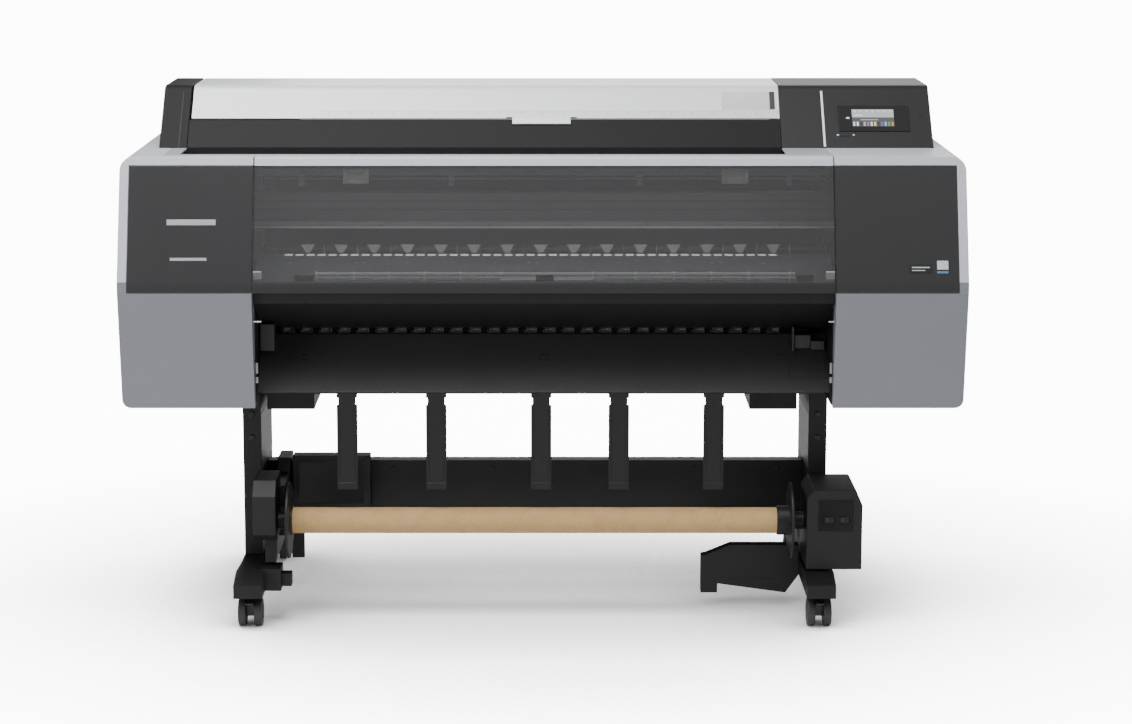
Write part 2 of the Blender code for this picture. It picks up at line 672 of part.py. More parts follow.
def make_paper_path():
    """Platen, exit guide and output chute, bent sheets from side plate to side plate."""
    x0, x1 = inside_x()
    platen = deep([(PLATEN_FRONT, PLATEN_Z - 0.041), (0.110, PLATEN_Z - 0.008),
                   (0.150, PLATEN_Z), (PLATEN_BACK, PLATEN_Z)])
    guide = deep([(LIP_DEPTH + 0.006, CHIN_Z + 0.005), (LIP_DEPTH, CHIN_Z - 0.001),
                  (LIP_DEPTH, CHIN_Z - 0.025), (SLOT_DEPTH, SLOT_Z), (SLOT_DEPTH + 0.022, SLOT_Z)])
    chute = deep([(SLOT_DEPTH + 0.025, SLOT_Z - SLOT_HEIGHT), (SLOT_DEPTH + 0.005, SLOT_Z - SLOT_HEIGHT),
                  (CHUTE_CREASE_DEPTH, CHUTE_CREASE_Z), (CHUTE_FRONT_DEPTH, CHUTE_FRONT_Z)])
    for name, path, thickness, finish in (
            ("platen", platen, -2 * SHEET, "dark_grey"),
            ("exit_guide", guide, -SHEET, "black_plastic"),
            ("output_chute", chute, SHEET, "black_plastic")):
        bm = bmesh.new()
        add_prism(bm, thicken(path, thickness), "X", x0, x1)
        make_object(name, bm, finish)


def make_rollers():
    """Feed roller and the row of pressure rollers above it, both on shafts in the side plates."""
    x0, x1 = inside_x()
    end0, end1 = WINDOW_X0 - PLATE_MARGIN - PLATE, WINDOW_X1 + PLATE_MARGIN + PLATE
    bm = bmesh.new()
    add_turned(bm, [(end0, SHAFT_RADIUS), (x0, SHAFT_RADIUS), (x0, FEED_RADIUS),
                    (x1, FEED_RADIUS), (x1, SHAFT_RADIUS), (end1, SHAFT_RADIUS)],
               (behind(FEED_DEPTH), FEED_Z), SHAFT_STEPS)
    make_object("feed_roller", bm, "steel", origin=(0.0, behind(FEED_DEPTH), FEED_Z), smooth=True)
    pitch = (MEDIA_WIDTH - PRESS_LENGTH) / (PRESS_COUNT - 1)
    profile = [(end0, PRESS_SHAFT)]
    for index in range(PRESS_COUNT):
        start = MEDIA_X0 + pitch * index
        profile += [(start, PRESS_SHAFT), (start, PRESS_RADIUS),
                    (start + PRESS_LENGTH, PRESS_RADIUS), (start + PRESS_LENGTH, PRESS_SHAFT)]
    profile.append((end1, PRESS_SHAFT))
    bm = bmesh.new()
    add_turned(bm, profile, (behind(FEED_DEPTH), PRESS_Z), SHAFT_STEPS)
    make_object("pressure_rollers", bm, "rubber", origin=(0.0, behind(FEED_DEPTH), PRESS_Z),
                smooth=True)


# ---------------------------------------------------------------- carriage
def make_carriage():
    """Guide rail with its two belt pulleys, the belt, the carriage and the print head."""
    rail_x = BODY_WIDTH / 2 - 0.0245
    rail_top = CARRIAGE_TOP - CARRIAGE_ROOF - GAP
    belt_z = rail_top - 0.030
    pulley_x = rail_x - 0.015
    bm = bmesh.new()
    add_box(bm, (-rail_x, rail_x), (behind(RAIL_FRONT), behind(RAIL_BACK)), (RAIL_Z0, rail_top))
    rail = make_object("carriage_rail", bm, "black_metal")
    bm = bmesh.new()
    for x in (-pulley_x, pulley_x):
        add_prism(bm, circle((x, belt_z), PULLEY_RADIUS, 16), "Y",
                  behind(RAIL_FRONT - BELT_WIDTH - 0.002), behind(RAIL_FRONT + 0.004))
    weld(rail, bm)

    loops = []
    for radius in (PULLEY_RADIUS + GAP + BELT_THICK, PULLEY_RADIUS + GAP):
        loops.append(arc((pulley_x, belt_z), radius, -90, 90, 8)
                     + arc((-pulley_x, belt_z), radius, 90, 270, 8))
    bm = bmesh.new()
    add_ring(bm, loops[0], loops[1], "Y", behind(RAIL_FRONT - BELT_WIDTH - 0.0005),
             behind(RAIL_FRONT - 0.0005))
    make_object("carriage_belt", bm, "belt")

    park_x = WINDOW_X1 + CARRIAGE_PARK
    body_z = PLATEN_Z + HEAD_GAP + HEAD_HEIGHT
    half = CARRIAGE_WIDTH / 2
    front = CARRIAGE_FRONT
    back = RAIL_FRONT - BELT_WIDTH - 0.004
    outline = deep([
        (front, body_z), (front, CARRIAGE_TOP - 0.030), (front + 0.030, CARRIAGE_TOP),
        (RAIL_BACK, CARRIAGE_TOP), (RAIL_BACK, CARRIAGE_TOP - CARRIAGE_ROOF),
        (back, CARRIAGE_TOP - CARRIAGE_ROOF), (back, body_z)])
    bm = bmesh.new()
    add_prism(bm, outline, "X", park_x - half, park_x + half)
    make_object("print_carriage", bm, "black_plastic",
                origin=(park_x, behind(RAIL_FRONT), CARRIAGE_TOP))
    bm = bmesh.new()
    add_box(bm, (park_x - 0.045, park_x + 0.045), (behind(0.140), behind(0.214)),
            (PLATEN_Z + HEAD_GAP, body_z - GAP))
    make_object("print_head", bm, "steel", origin=(park_x, behind(0.177), PLATEN_Z + HEAD_GAP))


# ---------------------------------------------------------------- ink and power
def make_ink_bank(side, x0, x1):
    """Six ink cartridges standing side by side in their holder."""
    base_z = BODY_BOTTOM + WALL + GAP
    top_z = BODY_BOTTOM + 0.245
    pitch = (x1 - x0) / INK_COUNT
    outline = [(x0, base_z)]
    for index in range(INK_COUNT):
        left, right = x0 + pitch * index, x0 + pitch * (index + 1)
        outline += [(left, top_z), (right - INK_SPACE, top_z), (right - INK_SPACE, base_z + 0.025),
                    (right, base_z + 0.025)]
    outline[-1] = (x1, base_z + 0.025)
    outline.append((x1, base_z))
    bm = bmesh.new()
    add_prism(bm, outline, "Y", behind(COVER_DEPTH + 0.022), behind(0.360))
    make_object("ink_bank_" + side, bm, "black_plastic")


def make_power_inlet():
    """Mains inlet on the back, with the recess that takes the plug."""
    x0, z0 = WINDOW_X1 - 0.13, BODY_BOTTOM + 0.035
    bm = bmesh.new()
    add_box(bm, (x0, x0 + 0.060), (REAR_Y + 0.002 + GAP, REAR_Y + 0.017), (z0, z0 + 0.040))
    inlet = make_object("power_inlet", bm, "black_plastic")
    bm = bmesh.new()
    add_box(bm, (x0 + 0.008, x0 + 0.036), (REAR_Y + 0.006, REAR_Y + 0.03), (z0 + 0.009, z0 + 0.031))
    carve(inlet, bm)


# ---------------------------------------------------------------- paper roll
def make_paper_roll():
    """Roll of paper on its core, held between two flanged adapters."""
    centre = (behind((POD_FRONT + POD_LEAN + BAY_BACK) / 2), BAY_FLOOR_Z + ROLL_REST + ROLL_RADIUS)
    plug = ROLL_CORE_RADIUS - GAP
    flange = ROLL_RADIUS + ROLL_REST - 0.0008
    origin = (0.0, *centre)
    bm = bmesh.new()
    outer = circle(centre, ROLL_RADIUS, 32)
    inner = circle(centre, ROLL_CORE_RADIUS, 32)
    add_ring(bm, outer, inner, "X", MEDIA_X0, MEDIA_X1)
    make_object("paper_roll", bm, "paper", origin=origin, smooth=True)
    for side, end_x, out in (("left", MEDIA_X0, -1), ("right", MEDIA_X1, 1)):
        bm = bmesh.new()
        profile = [(-0.030, plug), (GAP, plug), (GAP, flange), (0.008, flange), (0.008, 0.012),
                   (0.0125, 0.012)]
        add_turned(bm, [(end_x + out * x, radius) for x, radius in profile], centre, 32)
        make_object("roll_adapter_" + side, bm, "dark_grey", origin=(end_x, *centre), smooth=True)


# ---------------------------------------------------------------- stand
def make_stand():
    """Two feet, two legs and the beam that ties the legs together."""
    depths = (LEG_FRONT, LEG_FRONT + LEG_DEPTH)
    foot_top = FOOT_BOTTOM + FOOT_HEIGHT
    front = -FOOT_OVERHANG
    back = BODY_DEPTH + FOOT_OVERHANG
    rise = 0.009
    foot = deep([
        (front, FOOT_BOTTOM), (front, FOOT_BOTTOM + 0.031), (front + 0.059, foot_top + rise),
        (depths[0] - 0.06, foot_top), (depths[1] + 0.06, foot_top), (back - 0.059, foot_top + rise),
        (back, FOOT_BOTTOM + 0.031), (back, FOOT_BOTTOM)])
    for side, x0 in (("left", LEG_X0), ("right", LEG_X1 - LEG_WIDTH)):
        x1 = x0 + LEG_WIDTH
        bm = bmesh.new()
        add_box(bm, (x0, x1), (behind(depths[0]), behind(depths[1])), (foot_top + GAP, BODY_BOTTOM - GAP))
        make_object("leg_" + side, bm, "black_metal")
        if side == "left":
            foot_x = (x0 - 0.002, x0 - 0.002 + FOOT_WIDTH)
        else:
            foot_x = (x1 + 0.0025 - FOOT_WIDTH, x1 + 0.0025)
        bm = bmesh.new()
        add_prism(bm, foot, "X", *foot_x)
        base = make_object("foot_" + side, bm, "black_metal")
        if side == "left":
            bm = bmesh.new()
            add_box(bm, (foot_x[1] - 0.01, foot_x[1] + 0.037), (behind(0.040), behind(0.100)),
                    (FOOT_BOTTOM + 0.002, FOOT_BOTTOM + 0.054))
            weld(base, bm)
            bm = bmesh.new()
            add_box(bm, (foot_x[1] + 0.03, foot_x[1] + 0.060), (behind(0.055), behind(0.085)),
                    (FOOT_BOTTOM + 0.009, FOOT_BOTTOM + 0.039))
            weld(base, bm)
    bm = bmesh.new()
    add_box(bm, (LEG_X0 + LEG_WIDTH + GAP, LEG_X1 - LEG_WIDTH - GAP),
            (behind(BEAM_FRONT), behind(BEAM_FRONT + BEAM_THICK)), (BEAM_Z0, BEAM_Z1))
    make_object("stand_beam", bm, "black_metal")


def make_caster(name, x, swivel_y, way, brake):
    """Twin-wheel caster. way is -1 where the wheels lie in front of the swivel axis."""
    top = FOOT_BOTTOM - GAP
    half = WHEEL_SPACE / 2 - 0.0005
    reach = CASTER_TRAIL + 0.010

    def local(points):
        """(distance away from the wheels' side, height) as (y, z)"""
        return [(swivel_y - way * away, height) for away, height in points]
    axle_y = swivel_y + way * CASTER_TRAIL
    bm = bmesh.new()
    add_prism(bm, local([
        (0.001 - reach, WHEEL_RADIUS - 0.008), (0.009 - CASTER_TRAIL, WHEEL_RADIUS - 0.008),
        (0.014, top - 0.016), (0.014, top - 0.004), (-0.014, top - 0.004),
        (-reach, top - 0.018)]), "X", x - half, x + half)
    fork = make_object("caster_fork_" + name, bm, "black_plastic", origin=(x, swivel_y, top))
    bm = bmesh.new()
    add_prism(bm, circle((x, swivel_y), STEM_RADIUS, SHAFT_STEPS), "Z", top - 0.008, top)
    weld(fork, bm)
    bm = bmesh.new()
    add_turned(bm, [(x - 0.03, AXLE_RADIUS + RUN), (x + 0.03, AXLE_RADIUS + RUN)],
               (axle_y, WHEEL_RADIUS), SHAFT_STEPS)
    carve(fork, bm)

    inner = WHEEL_SPACE / 2
    outer = inner + WHEEL_WIDTH
    rim = 0.002
    profile = [(-outer, WHEEL_RADIUS - rim), (-outer + rim, WHEEL_RADIUS),
               (-inner - rim, WHEEL_RADIUS), (-inner, WHEEL_RADIUS - rim), (-inner, AXLE_RADIUS)]
    profile += [(-along, radius) for along, radius in reversed(profile)]
    bm = bmesh.new()
    add_turned(bm, [(x + along, radius) for along, radius in profile], (axle_y, WHEEL_RADIUS), 24,
               flat_down=True)
    wheels = make_object("caster_wheels_" + name, bm, "rubber", origin=(x, axle_y, WHEEL_RADIUS),
                         smooth=True)
    attach(wheels, fork)
    if brake:
        hub = (-reach - 0.004 - GAP, top - 0.024)
        tail = [(hub[0] - 0.020, hub[1] + 0.011), (hub[0] - 0.027, hub[1] + 0.007),
                (hub[0] - 0.024, hub[1] + 0.003)]
        bm = bmesh.new()
        add_prism(bm, local(arc(hub, 0.004, -90, 90, 6) + tail), "X", x - half, x + half)
        pivot = local([hub])[0]
        lever = make_object("caster_brake_" + name, bm, "black_plastic", origin=(x, *pivot))
        attach(lever, fork)


def make_casters():
    for side, x in (("left", LEG_X0 - 0.002 + FOOT_WIDTH / 2), ("right", LEG_X1 + 0.0025 - FOOT_WIDTH / 2)):
        make_caster("front_" + side, x, behind(CASTER_INSET), -1, True)
        make_caster("rear_" + side, x, behind(BODY_DEPTH - CASTER_INSET), 1, False)


# ---------------------------------------------------------------- take-up reel
def make_reel():
    """Core between two flanges, the drive unit on the right and the movable unit on the left."""
    centre = (behind(REEL_DEPTH), REEL_Z)
    origin = (0.0, *centre)
    bm = bmesh.new()
    add_ring(bm, circle(centre, CORE_RADIUS, 32), circle(centre, CORE_RADIUS - CORE_WALL, 32), "X",
             MEDIA_X0, MEDIA_X1)
    make_object("reel_core", bm, "card", origin=origin, smooth=True)
    plug = CORE_RADIUS - CORE_WALL - GAP
    for name, end_x, face_x, out in (("drive_flange", MEDIA_X1, DRIVE_X, 1),
                                     ("idler_flange", MEDIA_X0, IDLER_X, -1)):
        reach = abs(face_x - end_x)
        disc = reach - 0.035 if out > 0 else reach - 0.0295
        profile = [(-PLUG_LENGTH, plug), (GAP, plug), (GAP, CORE_RADIUS + 0.004),
                   (disc, CORE_RADIUS + 0.004), (disc, DISC_RADIUS), (disc + DISC_THICK, DISC_RADIUS),
                   (disc + DISC_THICK, HUB_RADIUS), (reach - 0.0005, HUB_RADIUS),
                   (reach - 0.0005, REEL_SHAFT), (reach + SHAFT_SINK, REEL_SHAFT)]
        bm = bmesh.new()
        add_turned(bm, [(end_x + out * x, radius) for x, radius in profile], centre, 32)
        make_object(name, bm, "black_plastic", origin=(end_x, *centre), smooth=True)


def carve_shaft_hole(item, x0, x1):
    """Blind hole that takes a flange's shaft."""
    bm = bmesh.new()
    add_turned(bm, [(x0, REEL_SHAFT + RUN), (x1, REEL_SHAFT + RUN)], (behind(REEL_DEPTH), REEL_Z), 32)
    carve(item, bm)


def make_drive_unit():
    """Motor housing of the reel, bolted to the front of the right leg."""
    x0, x1 = DRIVE_X, DRIVE_X + DRIVE_WIDTH
    z0, z1 = FOOT_BOTTOM + 0.053, 0.318
    bm = bmesh.new()
    add_prism(bm, [(x0, z0), (x1, z0), (x1, z1 - 0.035), (x1 - 0.015, z1), (x0 + 0.016, z1),
                   (x0, z1 - 0.020)], "Y", behind(0.040), behind(0.205))
    unit = make_object("reel_drive_unit", bm, "black_plastic")
    leg_x = (LEG_X1 - LEG_WIDTH + 0.002, LEG_X1 - 0.002)
    bm = bmesh.new()
    add_box(bm, leg_x, (behind(0.200), behind(LEG_FRONT - GAP)), (z0 + 0.01, z1 - 0.03))
    weld(unit, bm)
    carve_shaft_hole(unit, x0 - 0.01, x0 + SHAFT_SINK + 0.002)


def make_movable_unit():
    """Left holder of the core: housing, arm that hooks over the beam, and its locking lever."""
    x0, x1 = IDLER_X - IDLER_WIDTH, IDLER_X
    arm_x = (IDLER_X - 0.019, IDLER_X + 0.011)
    front, back = 0.050, 0.180
    bm = bmesh.new()
    add_prism(bm, deep([(front + 0.012, 0.196), (back, 0.196), (back, 0.332), (front + 0.030, 0.332),
                        (front, 0.300), (front, 0.210)]), "X", x0, x1)
    unit = make_object("reel_movable_unit", bm, "black_plastic", origin=(x0, behind(BEAM_FRONT), BEAM_Z1))
    grip = BEAM_FRONT - GAP
    over = BEAM_FRONT + BEAM_THICK + GAP
    lift = BEAM_Z1 + GAP
    bm = bmesh.new()
    add_prism(bm, deep([
        (back - 0.020, 0.250), (grip - 0.025, 0.250), (grip - 0.025, BEAM_Z0 - 0.025),
        (grip, BEAM_Z0 - 0.025), (grip, lift), (over, lift), (over, BEAM_Z1 - 0.030),
        (over + 0.012, BEAM_Z1 - 0.030), (over + 0.012, lift + 0.012), (grip - 0.025, lift + 0.012),
        (grip - 0.040, 0.300), (back - 0.020, 0.300)]), "X", *arm_x)
    weld(unit, bm)
    bm = bmesh.new()
    add_prism(bm, deep([(0.072, 0.140), (0.097, 0.140), (0.115, 0.200), (0.080, 0.200)]), "X",
              x0 + 0.025, x1 - 0.002)
    weld(unit, bm)
    carve_shaft_hole(unit, x1 + 0.02, x1 - SHAFT_SINK - 0.002)

    pivot = (behind(BEAM_FRONT - 0.014), BEAM_Z0 - 0.014)
    lever_x = (arm_x[1] + GAP, arm_x[1] + 0.030)
    bm = bmesh.new()
    outline = arc(pivot, 0.009, 0, 180, 8) + [(pivot[0] - 0.012, pivot[1] - 0.055),
                                              (pivot[0] - 0.004, pivot[1] - 0.068),
                                              (pivot[0] + 0.004, pivot[1] - 0.066)]
    add_prism(bm, outline, "X", *lever_x)
    lever = make_object("reel_lock_lever", bm, "black_plastic", origin=(lever_x[0], *pivot))
    attach(lever, unit)


def make_reel_extras():
    """Control box on the beam and the low sensor arm beside the right foot."""
    x0 = IDLER_X + 0.018
    bm = bmesh.new()
    add_box(bm, (x0, x0 + 0.184), (behind(BEAM_FRONT - 0.040), behind(BEAM_FRONT - GAP)),
            (BEAM_Z0 + 0.042, BEAM_Z1 + 0.020))
    make_object("reel_control_box", bm, "black_plastic")
    foot_x = LEG_X1 + 0.0025 - FOOT_WIDTH - GAP
    tip = foot_x - 0.230
    bm = bmesh.new()
    add_prism(bm, [(tip, 0.037), (tip + 0.039, 0.037), (tip + 0.039, 0.059), (foot_x - 0.031, 0.037),
                   (foot_x, 0.080), (foot_x, 0.153), (tip + 0.069, 0.153), (tip + 0.011, 0.129),
                   (tip, 0.127)], "Y", behind(0.180), behind(0.210))
    make_object("loop_sensor_arm", bm, "black_plastic")


def make_paper_supports():
    """Five flat guides that hang by round barrels just under the front edge of the chute."""
    radius = SUPPORT_RADIUS
    slope = Vector((CHUTE_CREASE_DEPTH - CHUTE_FRONT_DEPTH, CHUTE_CREASE_Z - CHUTE_FRONT_Z)).normalized()
    drop = SHEET + GAP + radius
    axis = (behind(CHUTE_FRONT_DEPTH + slope.y * drop), CHUTE_FRONT_Z - slope.x * drop)
    top = axis[1] + radius
    low = REEL_Z + CORE_RADIUS + SUPPORT_LIFT
    for number, spot in enumerate(SUPPORT_SPOTS, 1):
        x0 = MEDIA_SHIFT + spot - SUPPORT_WIDTH / 2
        outline = arc(axis, radius, 0, 180, 8)
        outline += [(axis[0] - radius, low + 0.016), (axis[0] - 0.009, low + 0.014),
                    (axis[0] - 0.009, low), (axis[0] + radius, low)]
        bm = bmesh.new()
        add_prism(bm, outline, "X", x0, x0 + SUPPORT_WIDTH)
        guide = make_object("paper_support_%d" % number, bm, "black_plastic",
                            origin=(x0 + SUPPORT_WIDTH / 2, *axis))
        bm = bmesh.new()
        for notch_x in (x0 - 0.001, x0 + SUPPORT_WIDTH - 0.004):
            add_box(bm, (notch_x, notch_x + 0.005), (axis[0] - 0.02, axis[0] + 0.02),
                    (top - 0.030, top - 0.012))
        carve(guide, bm)


make_main_frame()
for side, outer_x, window_x, floor_x in (("left", LEFT_X, WINDOW_X0, FLOOR_X0),
                                         ("right", RIGHT_X, WINDOW_X1, FLOOR_X1)):
    make_casing(side, outer_x, window_x, floor_x)
    make_front_panel(side, outer_x, window_x)
    make_ink_cover(side, outer_x, window_x)
make_ink_bank("left", LEFT_X + INK_MARGIN, FLOOR_X0 - 0.004)
make_ink_bank("right", FLOOR_X1 + 0.004, RIGHT_X - INK_MARGIN)
make_rear_cover()
make_top_deck()
make_roll_bay()
make_roll_cover()
make_pods()
make_controls()
make_front_cover()
make_paper_path()
make_rollers()
make_carriage()
make_power_inlet()
make_paper_roll()
make_stand()
make_casters()
make_reel()
make_drive_unit()
make_movable_unit()
make_reel_extras()
make_paper_supports()
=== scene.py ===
"""A 44-inch inkjet printer on its stand, dressed piece by piece as it is put together."""

import json
import math

import bmesh
import bpy
from mathutils import Matrix, Vector

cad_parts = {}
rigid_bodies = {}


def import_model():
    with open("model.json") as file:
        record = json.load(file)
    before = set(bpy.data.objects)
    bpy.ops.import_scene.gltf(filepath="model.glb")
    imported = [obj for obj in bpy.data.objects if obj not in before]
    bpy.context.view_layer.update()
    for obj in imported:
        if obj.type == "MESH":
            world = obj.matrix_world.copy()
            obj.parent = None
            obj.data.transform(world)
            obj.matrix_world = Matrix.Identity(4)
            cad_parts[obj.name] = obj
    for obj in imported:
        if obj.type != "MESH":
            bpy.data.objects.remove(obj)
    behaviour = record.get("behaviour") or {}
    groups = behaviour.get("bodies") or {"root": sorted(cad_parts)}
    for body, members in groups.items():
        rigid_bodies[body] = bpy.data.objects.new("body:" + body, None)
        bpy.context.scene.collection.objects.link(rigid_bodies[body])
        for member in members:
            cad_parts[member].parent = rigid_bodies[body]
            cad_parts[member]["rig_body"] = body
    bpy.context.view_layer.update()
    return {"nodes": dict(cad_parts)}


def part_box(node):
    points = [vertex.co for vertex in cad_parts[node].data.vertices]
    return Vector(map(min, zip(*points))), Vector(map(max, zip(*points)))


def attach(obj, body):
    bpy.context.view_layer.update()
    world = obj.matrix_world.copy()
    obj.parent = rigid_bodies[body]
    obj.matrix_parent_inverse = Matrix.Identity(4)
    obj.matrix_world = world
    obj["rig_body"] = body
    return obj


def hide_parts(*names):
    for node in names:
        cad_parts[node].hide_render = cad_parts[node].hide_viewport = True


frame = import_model()


# ---------------------------------------------------------------- studio
# A pale studio floor that glows to the camera, its glow darkened by ambient occlusion near the printer as a
# painted shadow, a wide soft box overhead, a fill on each side and one behind, and the camera above, looking
# down at the front.
class Wire:
    """One shader socket, so that a pattern can be written as a sum of others."""

    def __init__(self, finish, socket):
        self.finish = finish
        self.socket = socket

    def worked(self, operation, first, second):
        return self.finish.node("ShaderNodeMath", {"operation": operation}, {0: first, 1: second})

    def __add__(self, other):
        return self.worked("ADD", self, other)

    def __sub__(self, other):
        return self.worked("SUBTRACT", self, other)

    def __rsub__(self, other):
        return self.worked("SUBTRACT", other, self)

    def __mul__(self, other):
        return self.worked("MULTIPLY", self, other)

    def __truediv__(self, other):
        return self.worked("DIVIDE", self, other)

    def __gt__(self, other):
        return self.worked("GREATER_THAN", self, other)

    def __lt__(self, other):
        return self.worked("LESS_THAN", self, other)

    __radd__ = __add__
    __rmul__ = __mul__


class Mixture:
    """A tree of shader nodes."""

    def __init__(self, tree):
        self.tree = tree

    def join(self, value, socket):
        if isinstance(value, Wire):
            self.tree.links.new(value.socket, socket)
        else:
            socket.default_value = value

    def node(self, kind, settings, inputs, output=0):
        """Any node: its settings first, then its sockets, and back comes one output."""
        made = self.tree.nodes.new(kind)
        for name, value in settings.items():
            if name == "stops":
                ramp = made.color_ramp
                ramp.interpolation = "CONSTANT"
                ramp.elements[1].position = value[1][0]
                for spot, _ in value[2:]:
                    ramp.elements.new(spot)
                for element, (_, colour) in zip(ramp.elements, value):
                    element.color = (*colour, 1.0)
            else:
                setattr(made, name, value)
        for name, value in inputs.items():
            self.join(value, made.inputs[name])
        return Wire(self, made.outputs[output])

    def clamp(self, value, low, high):
        """0 at one value, 1 at the other, straight in between."""
        return self.node("ShaderNodeMapRange", {}, {0: value, 1: low, 2: high})


class Finish(Mixture):
    """One material. Its patterns lie on the object's own coordinates, in metres."""

    def __init__(self, name, colour, roughness, metallic=0.0):
        self.material = bpy.data.materials.new(name)
        self.material.use_nodes = True
        super().__init__(self.material.node_tree)
        self.surface = self.tree.nodes["Principled BSDF"]
        self.set("Base Color", (*colour, 1.0))
        self.set("Roughness", roughness)
        self.set("Metallic", metallic)
        self.place = self.node("ShaderNodeTexCoord", {}, {}, "Object")

    def set(self, name, value):
        self.join(value, self.surface.inputs[name])

    def noise(self, scale, detail=2.0, stretch=(1.0, 1.0, 1.0)):
        """Soft random pattern, scale per metre, about 0 to 1."""
        spot = self.node("ShaderNodeMapping", {}, {"Vector": self.place, "Scale": stretch})
        return self.node("ShaderNodeTexNoise", {}, {"Vector": spot, "Scale": scale, "Detail": detail})

    def along(self, axis):
        """Distance along one axis, in metres."""
        return self.node("ShaderNodeSeparateXYZ", {}, {"Vector": self.place}, "XYZ".index(axis))

    def mix(self, share, first, second):
        """Between two colours."""
        return self.node("ShaderNodeMix", {"data_type": "RGBA"},
                         {0: share, 6: self.colour(first), 7: self.colour(second)}, 2)

    def colour(self, value):
        return value if isinstance(value, Wire) else (*value, 1.0)

    def bump(self, height, depth):
        """Relief of the surface, depth in metres at height 1."""
        self.set("Normal", self.node("ShaderNodeBump", {}, {"Height": height, "Distance": depth,
                                                           "Strength": 1.0}))
        return self


def clear_choice():
    """Nothing selected, so that an operator acts only on what is chosen next."""
    for item in bpy.context.view_layer.objects:
        item.select_set(False)


FLOOR_SIZE = 120.0
FLOOR_SET_BACK = 40.0
FLOOR_GLOW = 12.0
SHADE_REACH = 1.3
clear_choice()
bpy.ops.mesh.primitive_plane_add(size=FLOOR_SIZE, location=(0.0, FLOOR_SET_BACK, 0.0))
bpy.ops.object.transform_apply(location=True)
floor = bpy.context.object
floor.name = "floor"
paving = Finish("studio_floor", (0.86, 0.86, 0.865), 0.6)
paving.set("Base Color", paving.mix(paving.noise(3.0), (0.86, 0.86, 0.865), (0.88, 0.88, 0.882)))
# Painted shadow: the floor's glow to the camera falls off with ambient occlusion around the printer.
shade = paving.node("ShaderNodeAmbientOcclusion", {"samples": 12}, {"Distance": SHADE_REACH}, "AO")
seen_directly = paving.node("ShaderNodeLightPath", {}, {}, "Is Camera Ray")
paving.set("Emission Color", seen_directly * shade * shade * shade * shade)
paving.set("Emission Strength", FLOOR_GLOW)
floor.data.materials.append(paving.material)

world = bpy.data.worlds.new("studio_air")
bpy.context.scene.world = world
world.use_nodes = True
air = Mixture(world.node_tree)
way = air.node("ShaderNodeTexCoord", {}, {}, "Generated")
front_share = 1.0 - air.clamp(air.node("ShaderNodeSeparateXYZ", {}, {"Vector": way}, "Y"), -0.1, 0.6)
top_share = air.clamp(air.node("ShaderNodeSeparateXYZ", {}, {"Vector": way}, "Z"), 0.4, 0.9)
backdrop = world.node_tree.nodes["Background"]
air.join((1.0, 1.0, 1.0, 1.0), backdrop.inputs["Color"])
air.join(front_share * 0.42 + top_share * 0.35 + 0.06, backdrop.inputs["Strength"])


def add_soft_box(name, spot, aim, width, height, power):
    """Rectangular light at one point, turned towards another."""
    lamp = bpy.data.lights.new(name, "AREA")
    lamp.shape = "RECTANGLE"
    lamp.size = width
    lamp.size_y = height
    lamp.energy = power
    item = bpy.data.objects.new(name, lamp)
    bpy.context.scene.collection.objects.link(item)
    item.location = spot
    item.rotation_euler = (Vector(aim) - Vector(spot)).to_track_quat("-Z", "Y").to_euler()


add_soft_box("top_box", (-0.7, -1.1, 3.4), (0.0, 0.0, 1.0), 3.2, 1.8, 150.0)
add_soft_box("left_box", (-3.4, -3.4, 1.9), (-0.2, 0.0, 0.8), 2.0, 2.4, 62.0)
add_soft_box("right_box", (3.6, -3.2, 2.0), (0.2, 0.0, 0.8), 1.6, 2.4, 18.0)
add_soft_box("back_box", (0.6, 3.6, 2.4), (0.0, 0.0, 0.8), 3.4, 1.8, 60.0)

camera = bpy.data.objects.new("camera", bpy.data.cameras.new("camera"))
bpy.context.scene.collection.objects.link(camera)
bpy.context.scene.camera = camera
camera.location = (0.0, -6.170, 1.761)
camera.rotation_euler = (math.pi / 2 - 0.1666, 0.0, 0.0)
camera.data.sensor_width = 36.0
camera.data.lens = 84.06
camera.data.shift_x = 0.0204
camera.data.shift_y = -0.06

# ---------------------------------------------------------------- stand
# Two welded steel legs on flat feet, a box-section beam between them and the bent steel frame
# that carries the printer, all bolted together and powder coated black.
def rounded(piece, edge, steps=2, angle=30.0):
    """Rounds every edge sharper than an angle and smooths the shading between the flats."""
    clear_choice()
    bpy.context.view_layer.objects.active = piece
    piece.select_set(True)
    if edge:
        bevel = piece.modifiers.new("edges", "BEVEL")
        bevel.width = edge
        bevel.segments = steps
        bevel.angle_limit = math.radians(angle)
        bpy.ops.object.modifier_apply(modifier=bevel.name)
    bpy.ops.object.shade_smooth_by_angle(angle=math.radians(angle))
    if edge:
        flats = piece.modifiers.new("flats", "WEIGHTED_NORMAL")
        flats.keep_sharp = True
        bpy.ops.object.modifier_apply(modifier=flats.name)
    return piece


def fitted(piece, finish, body, slot, *nodes):
    """Gives a piece its material, the body it rides on, and the CAD nodes it stands for."""
    piece.data.materials.clear()
    piece.data.materials.append(finish.material)
    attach(piece, body)
    if nodes:
        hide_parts(*nodes)
    return piece


def recast(node, finish, slot, edge=0.001, steps=2, join_flats=True):
    """Copy of a CAD node with its corners merged, its flats joined up and its edges rounded."""
    source = frame["nodes"][node]
    piece = bpy.data.objects.new(node + "_shell", source.data.copy())
    bpy.context.scene.collection.objects.link(piece)
    clear_choice()
    bpy.context.view_layer.objects.active = piece
    piece.select_set(True)
    bpy.ops.mesh.customdata_custom_splitnormals_clear()
    bpy.ops.object.mode_set(mode="EDIT")
    bpy.ops.mesh.select_all(action="SELECT")
    bpy.ops.mesh.remove_doubles(threshold=1e-5)
    if join_flats:
        bpy.ops.mesh.dissolve_limited(angle_limit=math.radians(1.0))
    bpy.ops.object.mode_set(mode="OBJECT")
    rounded(piece, edge, steps)
    return fitted(piece, finish, source["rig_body"], slot, node)


